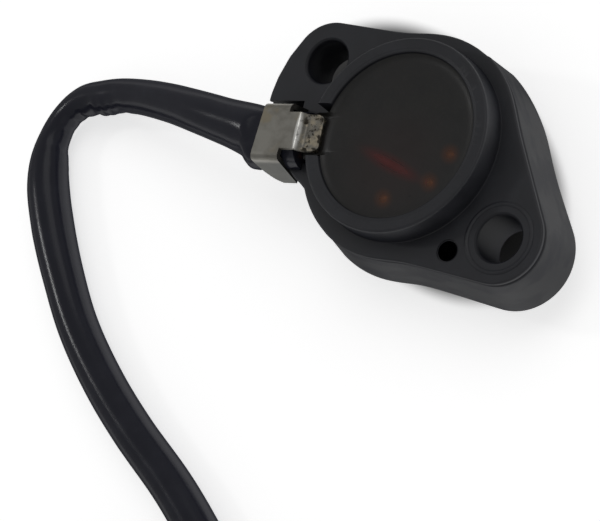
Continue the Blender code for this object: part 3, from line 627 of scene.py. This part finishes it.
def plain_finish(name, colour, roughness, metallic=0.0, mottle=0.25, lumps=1500.0, depth=0.00002):
    """Simple moulded, drawn or turned finish: mottled colour, uneven gloss and a fine grain."""
    finish = Finish(name, colour, roughness, metallic)
    mottled = finish.noise(lumps * 0.25, 4.0, 0.6)
    shade = finish.mix(mottled.band(0.3, 0.75), [c * (1 + mottle) for c in colour[:3]],
                       [c * (1 - mottle) for c in colour[:3]])
    finish.set("Base Color", shade)
    finish.set("Roughness", roughness + 0.22 * (mottled - 0.5))
    finish.bump(finish.noise(lumps * 3.0, 3.0), depth, 0.5)
    return finish.material


# ---------------------------------------------------------------- shape of the flange

def flange_reach(angle):
    """Distance from the axis to the flange's edge: a power mean of the disc's radius and of the
    ear, which is a circle round its bolt hole up to where its straight side touches it."""
    ear = (np.cos(angle) < 0).astype(int)
    centre = np.abs(EARS)[ear]
    radius = np.array(EAR_R)[ear]
    normal = np.array(EAR_NORMAL)[ear]
    bearing = np.abs(np.arctan2(np.sin(angle), np.abs(np.cos(angle))))
    corner = np.arctan2(radius * np.sin(normal), centre + radius * np.cos(normal))
    chord = np.sqrt(np.maximum(radius ** 2 - (centre * np.sin(bearing)) ** 2, 0))
    end = centre * np.cos(bearing) + chord
    side = (centre * np.cos(normal) + radius) / np.cos(np.minimum(bearing - normal, 0.0))
    reach = np.where(bearing < corner, end, side)
    disc = DISC_R + DISC_SHIFT * np.cos(angle - DISC_SHIFT_ANGLE)
    return (disc ** BLEND_POWER + reach ** BLEND_POWER) ** (1 / BLEND_POWER)


def flange_outline(count=520):
    """Even points round the flange: its polar outline, then the two arms beside the lead, with the
    corners eased by a short moving average."""
    angle = np.linspace(EXIT_ANGLE - 2 * math.pi + math.radians(24.0), math.pi, 700)
    reach = flange_reach(angle)
    disc = np.stack([reach * np.cos(angle), reach * np.sin(angle), 0 * angle], axis=1)
    arms = np.array([u * U + v * V for u, v in ARMS])
    line = np.vstack([disc, arms, disc[:1]])
    line = respaced(line, run_length(line)[-1] / count)[:-1]
    weights = np.array([1.0, 2.0, 3.0, 2.0, 1.0]) / 9.0
    return sum(w * np.roll(line, k - 2, axis=0) for k, w in enumerate(weights))


def carry_round(name, outline, profile, spread):
    """Closed solid: a profile of (outward offset, height) carried round an outline, each point
    moved along the outline's own normal, with flat ends.  spread times the outline's own share of
    it, which is given by spread_share, is added to the offset below the face."""
    ahead = np.roll(outline, -1, axis=0) - np.roll(outline, 1, axis=0)
    outward = np.stack([ahead[:, 1], -ahead[:, 0], 0 * ahead[:, 0]], axis=1)
    outward /= np.linalg.norm(outward, axis=1, keepdims=True)
    profile = np.asarray(profile, float)
    depth = np.clip((FACE - 0.0010 - profile[:, 1:]) / (FACE - 0.0010 - BACK), 0.0, 1.0)
    offset = profile[:, :1] + spread * depth * spread_share(outline)[None]
    grid = AXIS + outline[None] + outward[None] * offset[:, :, None] + UP * profile[:, 1:, None]
    return grid_piece(name, grid, caps=True)


def spread_share(outline):
    """How much of the spread each point of the outline gets: 1 - 0.85 sin(angle)^1.3 on the far
    side, 1 on the near side, and two bells more at the large ear and beside it."""
    angle = np.arctan2(outline[:, 1], outline[:, 0])
    even = 1.0 - 0.85 * np.maximum(np.sin(angle), 0.0) ** 1.3
    at_ear = 0.45 * np.exp(-(angle / 0.40) ** 2)
    beside_ear = 0.55 * np.exp(-((angle - 0.85) / 0.30) ** 2)
    return even + at_ear + beside_ear


def make_flange(settings):
    """Flange with a rounded lip, a groove under it and a side that spreads to the back."""
    lip, groove, flare = settings.lip, settings.groove, settings.flare
    profile = filleted([
        (-0.0004, BACK, 0.0), (0.0, BACK, 0.0003), (0.0, FACE - 0.0010, 0.0002),
        (-groove, FACE - 0.0009, 0.0001), (-groove, FACE - 0.0007, 0.0001),
        (0.0, FACE - 0.0006, 0.0001), (0.0, FACE, lip), (-0.0014, FACE, 0.0)])
    return carry_round("moulded_housing", flange_outline(), profile, flare)


def housing_tools():
    """What is joined to the flange and cut from it: (operation, tool), in order."""
    over = COLLAR_TOP + 0.001
    groove_r, groove_low, groove_high = RING_GROOVE
    clip_r, clip_low, clip_high = CLIP_GROOVE
    spigot = lathe("spigot", filleted([
        (0.0, 0.0, 0.0), (SPIGOT_R, 0.0, 0.0005), (SPIGOT_R, groove_low, 0.0001),
        (groove_r, groove_low, 0.0001), (groove_r, groove_high, 0.0001),
        (SPIGOT_R, groove_high, 0.0001),
        (SPIGOT_R, BACK + 0.0006, 0.0), (0.0, BACK + 0.0006, 0.0)]))
    collar = lathe("collar", filleted([
        (0.0, COLLAR_TOP, 0.0), (COLLAR_R[1], COLLAR_TOP, 0.00045), (COLLAR_R[0], FACE, 0.00025),
        (COLLAR_R[0] + 0.0003, FACE - 0.0001, 0.0), (COLLAR_R[0], FACE - 0.0006, 0.0),
        (0.0, FACE - 0.0006, 0.0)]))
    cavity = lathe("cavity", filleted([
        (0.0, over, 0.0), (CAVITY_R + 0.0010, over, 0.0), (CAVITY_R + 0.0010, COLLAR_TOP, 0.0007),
        (CAVITY_R, COLLAR_TOP - 0.0001, 0.0003), (CAVITY_R, WEB_TOP, 0.0), (0.0, WEB_TOP, 0.0)]))
    chamber = lathe("chamber", filleted([
        (0.0, -0.001, 0.0), (CHAMBER_R, -0.001, 0.0), (CHAMBER_R, clip_low, 0.0),
        (clip_r, clip_low, 0.0), (clip_r, clip_high, 0.0), (CHAMBER_R, clip_high, 0.0),
        (CHAMBER_R, WEB_BOTTOM, 0.0002), (0.0, WEB_BOTTOM, 0.0)]))
    tools = [("UNION", spigot), ("UNION", collar), ("UNION", make_pad()), ("DIFFERENCE", cavity),
             ("DIFFERENCE", chamber)]
    for x in EARS:
        hole = lathe("bolt_hole", filleted([
            (0.0, over, 0.0), (BOLT_HOLE_R + 0.0006, over, 0.0),
            (BOLT_HOLE_R + 0.0004, FACE + 0.0001, 0.0001), (BOLT_HOLE_R, FACE - 0.0003, 0.0002),
            (BOLT_HOLE_R, BACK, 0.0002), (BOLT_HOLE_R + 0.0006, BACK - 0.0006, 0.0),
            (0.0, BACK - 0.0006, 0.0)]), (x, 0.0), 80)
        tools.append(("DIFFERENCE", hole))
    tools.append(("DIFFERENCE", lathe("ejector_mark", filleted([
        (0.0013, FACE + 0.001, 0.0), (0.0017, FACE + 0.001, 0.0), (0.0016, FACE - 0.00012, 0.0),
        (0.0014, FACE - 0.00012, 0.0)], 1), EJECTOR_MARK, 48, closed=True)))
    tools.append(("DIFFERENCE", lathe("side_nick", [
        (0.0, 0.0094), (0.0005, 0.0094), (0.0005, 0.0082), (0.0, 0.0082)], SIDE_NICK, 24)))
    tools.append(("DIFFERENCE", block("collar_gap", (0.0095, 0.0152), COLLAR_GAP_V,
                                      (FACE - 0.0001, over))))
    tools.append(("DIFFERENCE", block("neck", (0.0090, 0.0260), NECK_V, (CHANNEL_FLOOR, over))))
    tools.append(("DIFFERENCE", block("mouth", (NECK_END_U, 0.0300), MOUTH_V,
                                      (CHANNEL_FLOOR - 0.0001, over))))
    return tools


def make_pad():
    """Low bead round the large ear's bolt hole."""
    profile = filleted([
        (0.0044, FACE - 0.0005, 0.0), (0.0044, FACE + 0.00005, 0.0),
        (0.0047, FACE + 0.00022, 0.0002), (0.0050, FACE + 0.00005, 0.0),
        (0.0051, FACE - 0.0005, 0.0)])
    return lathe("pad", profile, (EARS[0], 0.0), 96, closed=True)


# ---------------------------------------------------------------- operators

class GEARSWITCH_OT_stage(bpy.types.Operator):
    """Make the camera, the lights and the floor"""
    bl_idname = "gear_switch.stage"
    bl_label = "Stage"

    def execute(self, context):
        settings = context.scene.gear_stage
        scene = context.scene
        data = bpy.data.cameras.new("camera")
        data.lens = settings.lens
        data.sensor_width = 36.0
        data.clip_start = 0.01
        camera = bpy.data.objects.new("camera", data)
        camera.location = CAMERA_PLACE
        camera.rotation_euler = CAMERA_TURN
        scene.collection.objects.link(camera)
        scene.camera = camera

        corners = 2.0 * np.array([[-1, -1, 0], [1, -1, 0], [1, 1, 0], [-1, 1, 0]])
        floor = mesh_piece("floor", corners, [[0, 1, 2, 3]])
        paper = Finish("white_paper", settings.floor, 0.8)
        # Painted shadow: under the flange the floor is dark grey and gives no glow.
        outside_painted_shadow = paper.away(tuple(AXIS + PAINTED_SHADOW_CENTRE), 0.0, PAINTED_SHADOW_SIZE).band(0.84, 1.0)
        paper.set("Base Color", paper.mix(outside_painted_shadow, (0.09, 0.09, 0.09), settings.floor))
        paper.set("Emission Color", paper.mix(outside_painted_shadow, (0.0, 0.0, 0.0), (1.0, 1.0, 1.0)))
        paper.set("Emission Strength", FLOOR_GLOW)
        floor.data.materials.append(paper.material)

        for name, place, size, share in LAMPS:
            light = bpy.data.lights.new(name, "AREA")
            light.size = size
            light.energy = share * settings.key
            lamp = bpy.data.objects.new(name, light)
            lamp.location = place
            toward = np.array(place) / np.linalg.norm(place)
            heading = math.atan2(toward[1], toward[0]) + math.pi / 2
            lamp.rotation_euler = (math.acos(toward[2]), 0.0, heading)
            scene.collection.objects.link(lamp)

        world = bpy.data.worlds.new("room")
        world.use_nodes = True
        world.node_tree.nodes["Background"].inputs["Color"].default_value = (1.0, 1.0, 1.0, 1.0)
        world.node_tree.nodes["Background"].inputs["Strength"].default_value = settings.sky
        scene.world = world
        scene.view_settings.view_transform = "Standard"
        return {"FINISHED"}


class GEARSWITCH_OT_lead(bpy.types.Operator):
    """Make the lead as one sleeve from the clamp, through its coil, to the plug"""
    bl_idname = "gear_switch.lead"
    bl_label = "Lead"

    def execute(self, context):
        settings = context.scene.gear_lead
        line = lead_line()
        along = run_length(line)
        grid = sleeve_grid(line, along, settings)
        lead = grid_piece("sleeved_lead", grid, caps=True, smooth=60.0)
        add_sleeve_uv(lead, grid, along)
        finish_piece(lead, "root", vinyl_sleeve(settings.colour),
                     ("lead", "lead_coil", "lead_tail"))
        nodes = frame["nodes"]
        with_pieces = [nodes["plug_housing"], nodes["plug_lock_bar"], nodes["plug_boot"],
                       nodes["coil_tie"]]
        with_pieces += [nodes["terminal_%d" % (k + 1)] for k in range(7)]
        return {"FINISHED"}


def sleeve_grid(line, along, settings):
    """Points of the sleeve, which goes flat on the inside of its tight bend.  Its radius is
    r (outer (1 + cos a) + inner (1 - cos a)) / 2, where outer and inner are shares that change
    along it, less small folds on the inside: depth * bell * wave * (inward share)^2.  It swells as
    a bell where it leaves the clamp, and is pressed flat under the clamp and on the floor."""
    radius = settings.diameter / 2
    bend = run_length(smooth_path(LEAD_ROUTE[:BEND_POINT + 1], 0.0008))[-1] + 0.001
    pinch = settings.pinch
    outer = eased(along, bend, [(-0.056, 1.28), (-0.044, 1.24), (-0.038, 1.04), (-0.028, 0.88),
                                (-0.018, 0.79), (-0.008, 0.82), (-0.004, 1.00), (0.000, 0.92),
                                (0.005, 0.82), (0.010, 0.96), (0.020, 1.07), (0.030, 1.0)])
    inner = eased(along, bend, [(-0.056, 1.42), (-0.046, 1.32), (-0.040, 1.13), (-0.020, 0.97),
                                (-0.012, 0.86), (-0.008, 0.98), (-0.004, pinch - 0.10),
                                (0.000, pinch - 0.26), (0.004, pinch - 0.05), (0.008, 1.02),
                                (0.013, 1.13), (0.020, 1.06), (0.034, 1.0)])
    _, out, turn = rings(line, radius, SLEEVE_SIDES)
    lean = np.cos(turn)[None, :]
    size = (outer[:, None] * (1 + lean) + inner[:, None] * (1 - lean)) / 2
    near = np.exp(-((along - bend + 0.003) / 0.0075) ** 2)
    wave = 0.5 + 0.5 * np.cos((along - bend) / 0.0026 * 2 * math.pi + 1.6 * np.sin(along * 700.0))
    fall = 0.15 * near[:, None] * wave[:, None] * np.clip(-lean, 0.0, 1.0) ** 2
    lobes = 0.012 * np.sin(2 * turn[None, :] + 14.0 * along[:, None])
    past_clamp = along - bend - CLAMP_EXIT
    swell = 0.34 * np.exp(-(past_clamp / 0.0013) ** 2)[:, None] * np.clip(-lean, 0.0, 1.0) ** 2
    grid = line[:, None, :] + out * (radius * (size - fall + lobes + swell))[:, :, None]
    under = CLAMP_TOP - CLAMP_SHEET - 0.0001 + np.maximum(past_clamp, 0.0) * 0.4
    grid[..., 2] = np.clip(grid[..., 2], 0.00002, under[:, None])
    return grid


def eased(along, start, knots):
    """Smooth curve near (distance from start, value) knots: straight between, then averaged."""
    where, value = np.array(knots).T
    window = np.hanning(9)
    curve = np.interp(along, start + where, value)
    return np.convolve(np.pad(curve, 4, mode="edge"), window / window.sum(), mode="valid")


def add_sleeve_uv(lead, grid, along):
    """UV map with metres along the sleeve across, and the share of a turn round it upwards."""
    rows, sides = grid.shape[:2]
    layer = lead.data.uv_layers.new(name="sleeve")
    corners = np.empty(len(lead.data.loops), dtype=np.int32)
    lead.data.loops.foreach_get("vertex_index", corners)
    uv = np.stack([along[corners // sides % rows], corners % sides / sides], axis=1)
    layer.data.foreach_set("uv", uv.astype(np.float32).ravel())


class GEARSWITCH_OT_housing(bpy.types.Operator):
    """Make the moulded housing: flange, collar, spigot and holes"""
    bl_idname = "gear_switch.housing"
    bl_label = "Housing"

    def execute(self, context):
        settings = context.scene.gear_housing
        housing = make_flange(settings)
        carve(housing, housing_tools())
        housing.data.shade_smooth()
        housing.data.set_sharp_from_angle(angle=math.radians(35.0))
        even = housing.modifiers.new("even_shading", "WEIGHTED_NORMAL")
        even.keep_sharp = True
        bore = tuple(AXIS + np.array([EARS[0], 0.0, FACE]))
        material = black_nylon(settings.colour, bore)
        finish_piece(housing, "root", material, ("housing",))
        return {"FINISHED"}


class GEARSWITCH_OT_resin(bpy.types.Operator):
    """Make the potting resin, the red wire under its surface and the solder on the posts"""
    bl_idname = "gear_switch.resin"
    bl_label = "Resin"

    def execute(self, context):
        settings = context.scene.gear_resin
        resin = grid_piece("resin_fill", resin_grid())
        posts = [AXIS + POST_CIRCLE_R * np.array([math.cos(a), math.sin(a), 0.0])
                 for a in POST_ANGLES]
        low, high = AXIS + RED_STREAK
        middle = (low + high) / 2 + UP * RESIN_TOP
        run = high - low
        turn = math.atan2(run[1], run[0])
        half = np.linalg.norm(run) / 2
        streak = [(tuple(middle), turn, (half + 0.0006, 0.0012, 0.0040)),
                  (tuple(middle), turn, (half + 0.0020, 0.0060, 0.0040))]
        lift = np.array([0.0003, 0.0, RESIN_TOP])
        # Places of the painted glints, over the first three posts.
        glints = [tuple(post + lift) for post in posts[:3]]
        material = amber_resin(settings.colour, settings.clearness, streak, glints)
        finish_piece(resin, "root", material, ("potting_resin",))

        end = posts[1]
        wire = [AXIS + U * u + V * v + UP * z for u, v, z in RED_WIRE_IN]
        wire += [low + UP * 0.01452, high + UP * 0.01455, end - UP * (end[2] - 0.0142)]
        red = tube_piece("red_wire", smooth_path(wire, 0.0003), RED_WIRE_R, 20)
        finish_piece(red, "root", plain_finish("red_insulation", (0.62, 0.020, 0.012), 0.40),
                     ("wire_gear_1",))
        blobs = [solder_grid(post) for post in posts]
        faces = []
        rows, columns = blobs[0].shape[:2]
        for k in range(len(blobs)):
            faces += (np.array(grid_faces(rows, columns)) + k * rows * columns).tolist()
        solder = mesh_piece("solder_joints", np.array(blobs), faces)
        finish_piece(solder, "root", plain_finish("solder", (0.80, 0.26, 0.06), 0.30, 0.6, 0.3))
        return {"FINISHED"}


def resin_grid():
    """Polar grid: the level sinks a little to the middle and climbs the wall as r^14, and a tongue
    reaches out under the clamp's tab where the collar is open."""
    turn = np.linspace(0.0, 2 * math.pi, 240, endpoint=False)
    share = np.concatenate([np.linspace(0.0, 0.9, 26), np.linspace(0.9, 1.0, 14)[1:]])
    apart = np.abs((turn - EXIT_ANGLE + math.pi) % (2 * math.pi) - math.pi)
    open_side = np.clip((math.radians(15.0) - apart) / math.radians(2.5), 0.0, 1.0)
    reach = (CAVITY_R - 0.00002) + open_side * 0.0034
    r = share[:, None] * reach[None, :]
    wave = 0.00005 * np.sin(3 * turn + 0.7)[None, :] * share[:, None] ** 2
    height = RESIN_TOP - 0.00012 * (1 - share[:, None] ** 2) + wave
    height += (1 - open_side)[None, :] * 0.00042 * share[:, None] ** 26
    height -= open_side[None, :] * 0.0008 * np.clip((r - 0.0108) / 0.0024, 0.0, 1.0)
    top = np.stack([AXIS[0] + r * np.cos(turn), AXIS[1] + r * np.sin(turn), height], axis=-1)
    rim = top[-1:].copy()
    rim[..., 2] = WEB_TOP + 0.0002
    middle = np.broadcast_to(AXIS + UP * (WEB_TOP + 0.0002), rim.shape)
    return np.concatenate([top, rim, middle])


def solder_grid(post):
    """Uneven cone of solder on a post's top: r falls with height as a quarter wave."""
    turn = np.linspace(0.0, 2 * math.pi, 28, endpoint=False)
    t = np.linspace(0.0, 1.0, 12)[:, None]
    uneven = 1 + 0.10 * np.cos(2 * turn + post[0] * 900.0)[None]
    r = 0.00135 * np.cos(t * math.pi / 2) ** 0.7 * uneven
    z = SOLDER_FOOT + 0.00125 * t + 0 * turn[None]
    side = np.stack([post[0] + r * np.cos(turn), post[1] + r * np.sin(turn), z], axis=-1)
    foot = np.broadcast_to(np.array([post[0], post[1], SOLDER_FOOT]), side[:1].shape)
    return np.concatenate([foot, side])


class GEARSWITCH_OT_clamp(bpy.types.Operator):
    """Make the bent sheet clamp over the lead"""
    bl_idname = "gear_switch.clamp"
    bl_label = "Clamp"

    def execute(self, context):
        clamp = sheet_piece("bent_clamp", saddle_grid())
        carve(clamp, [("UNION", sheet_piece("tab", tab_grid()))])
        clamp.data.shade_smooth()
        clamp.data.set_sharp_from_angle(angle=math.radians(50.0))
        tab = AXIS + U * 0.0133 + UP * 0.0155
        # Centre of the painted highlight on the tab's ridge.
        ridge = AXIS + U * 0.0153 + UP * CLAMP_TOP
        finish_piece(clamp, "root", zinc_steel(tuple(tab), tuple(ridge)),
                     ("cable_clamp",))
        return {"FINISHED"}


def sheet_piece(name, grid):
    """Closed sheet under a grid of points (rows, columns, 3): the back lies one thickness behind
    the front, along the normal."""
    ahead, across = np.gradient(grid, axis=0), np.gradient(grid, axis=1)
    normal = np.cross(ahead, across)
    normal /= np.linalg.norm(normal, axis=2, keepdims=True)
    normal *= np.sign(normal[len(normal) // 2, grid.shape[1] // 2, 2])
    back = grid - normal * CLAMP_SHEET
    ring = np.concatenate([grid, back[:, ::-1]], axis=1)
    return grid_piece(name, ring, caps=True, smooth=50.0)


def saddle_grid():
    """Front of the saddle over the lead.  Across, each row runs up one leg, round a bend, over
    the flat and down the other leg; the legs' outer edges curve in towards the feet as
    1 - sqrt(1 - t^2)."""
    across = np.linspace(-0.0116, 0.0116, 121)[None, :]
    share = np.linspace(0.0, 1.0, 14)[:, None]
    over = np.clip(np.abs(across) - SADDLE_FLAT, 0.0, SADDLE_BEND * math.pi / 2) / SADDLE_BEND
    down = np.maximum(np.abs(across) - SADDLE_FLAT - SADDLE_BEND * math.pi / 2, 0.0)
    v = np.sign(across) * (np.minimum(np.abs(across), SADDLE_FLAT) + SADDLE_BEND * np.sin(over)
                           + 0.12 * down)
    z = CLAMP_TOP - SADDLE_BEND * (1 - np.cos(over)) - down
    t = np.clip(down / down.max(), 0.0, 0.98)
    skew = 0.085 * across
    far = 0.0219 + skew - 0.0022 * (1 - np.sqrt(1 - t ** 2))
    near = 0.0175 + skew + 0.0004 * t
    u = near + (far - near) * share
    return (AXIS + u[..., None] * U + (v + 0 * u)[..., None] * V + (z + 0 * u)[..., None] * UP)


def tab_grid():
    """Front of the tab: from under the saddle's edge over a rounded ridge, then down into the
    potting; its end is rounded as sqrt(1 - t^2)."""
    top, foot = TAB_BENDS
    u = np.concatenate([np.linspace(0.0184, top + 0.0001, 12), np.linspace(top, foot, 16),
                        np.linspace(foot - 0.0001, 0.0121, 20)])[:, None]
    ridge = np.clip((top - u) / 0.0011, 0.0, 1.0)
    z = CLAMP_TOP - 0.00095 * ridge ** 2 * (3 - 2 * ridge) - 0.10 * np.maximum(foot - u, 0.0)
    tip = np.clip((0.0131 - u) / 0.0010, 0.0, 0.97)
    half = TAB_HALF - 0.0008 * (1 - np.sqrt(1 - tip ** 2))
    v = np.linspace(-1.0, 1.0, 41)[None, :] * half - 0.00012
    return (AXIS + (u + 0 * v)[..., None] * U + v[..., None] * V + (z + 0 * v)[..., None] * UP)


class GEARSWITCH_OT_small_parts(bpy.types.Operator):
    """Give the parts of the frame that stay as they are their finishes"""
    bl_idname = "gear_switch.small_parts"
    bl_label = "Small Parts"

    def execute(self, context):
        brass = plain_finish("turned_brass", (0.62, 0.42, 0.17), 0.30, 1.0)
        steel = plain_finish("spring_steel", (0.48, 0.48, 0.50), 0.30, 1.0)
        rubber = plain_finish("black_rubber", (0.014, 0.014, 0.015), 0.62)
        acetal = plain_finish("cream_acetal", (0.50, 0.48, 0.41), 0.42)
        nylon = plain_finish("natural_nylon", (0.66, 0.64, 0.58), 0.38)
        strap = plain_finish("black_tie_nylon", (0.016, 0.016, 0.017), 0.45)
        finishes = {
            "rotor": acetal, "plug_lock_bar": acetal, "plug_housing": nylon, "o_ring": rubber,
            "plug_boot": rubber, "coil_tie": strap, "rotor_clip": steel, "plunger_spring": steel,
            "contact_plunger": brass, "rotor_contact_strap": brass}
        for name in frame["nodes"]:
            if name.startswith(("contact_post", "terminal")):
                finishes[name] = brass
        colours = {slot["slot"]: slot["base_color"] for slot in RECORD["materials"]}
        slots = {part["node"]: part["material_slot"] for part in RECORD["subparts"]}
        for name in frame["nodes"]:
            if name.startswith("wire_") and name != "wire_gear_1":
                finishes[name] = plain_finish(slots[name], colours[slots[name]], 0.42)
        for name, material in finishes.items():
            data = frame["nodes"][name].data
            data.materials.clear()
            data.materials.append(material)
        return {"FINISHED"}


class GEARSWITCH_PT_panel(bpy.types.Panel):
    """Sidebar panel with the settings and the steps of the switch"""
    bl_label = "Gear Position Switch"
    bl_idname = "GEARSWITCH_PT_panel"
    bl_space_type = "VIEW_3D"
    bl_region_type = "UI"
    bl_category = "Gear Switch"

    def draw(self, context):
        for name, step in STEPS:
            box = self.layout.box()
            box.operator(step.bl_idname)
            if name:
                settings = getattr(context.scene, name)
                for prop in settings.__annotations__:
                    box.prop(settings, prop)


STEPS = [
    ("gear_stage", GEARSWITCH_OT_stage),
    ("gear_lead", GEARSWITCH_OT_lead),
    ("gear_housing", GEARSWITCH_OT_housing),
    ("gear_resin", GEARSWITCH_OT_resin),
    (None, GEARSWITCH_OT_clamp),
    (None, GEARSWITCH_OT_small_parts),
]
GROUPS = {
    "gear_stage": StageSettings,
    "gear_lead": LeadSettings,
    "gear_housing": HousingSettings,
    "gear_resin": ResinSettings,
}


def register():
    """Register the settings, the operators and the panel."""
    for name, group in GROUPS.items():
        bpy.utils.register_class(group)
        setattr(bpy.types.Scene, name, PointerProperty(type=group))
    for _, step in STEPS:
        bpy.utils.register_class(step)
    bpy.utils.register_class(GEARSWITCH_PT_panel)


def unregister():
    """Take back what register did."""
    bpy.utils.unregister_class(GEARSWITCH_PT_panel)
    for _, step in reversed(STEPS):
        bpy.utils.unregister_class(step)
    for name, group in GROUPS.items():
        delattr(bpy.types.Scene, name)
        bpy.utils.unregister_class(group)


def main():
    """Build everything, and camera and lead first."""
    register()
    for _, step in STEPS:
        group, _, action = step.bl_idname.partition(".")
        getattr(getattr(bpy.ops, group), action)()


if __name__ == "__main__":
    main()
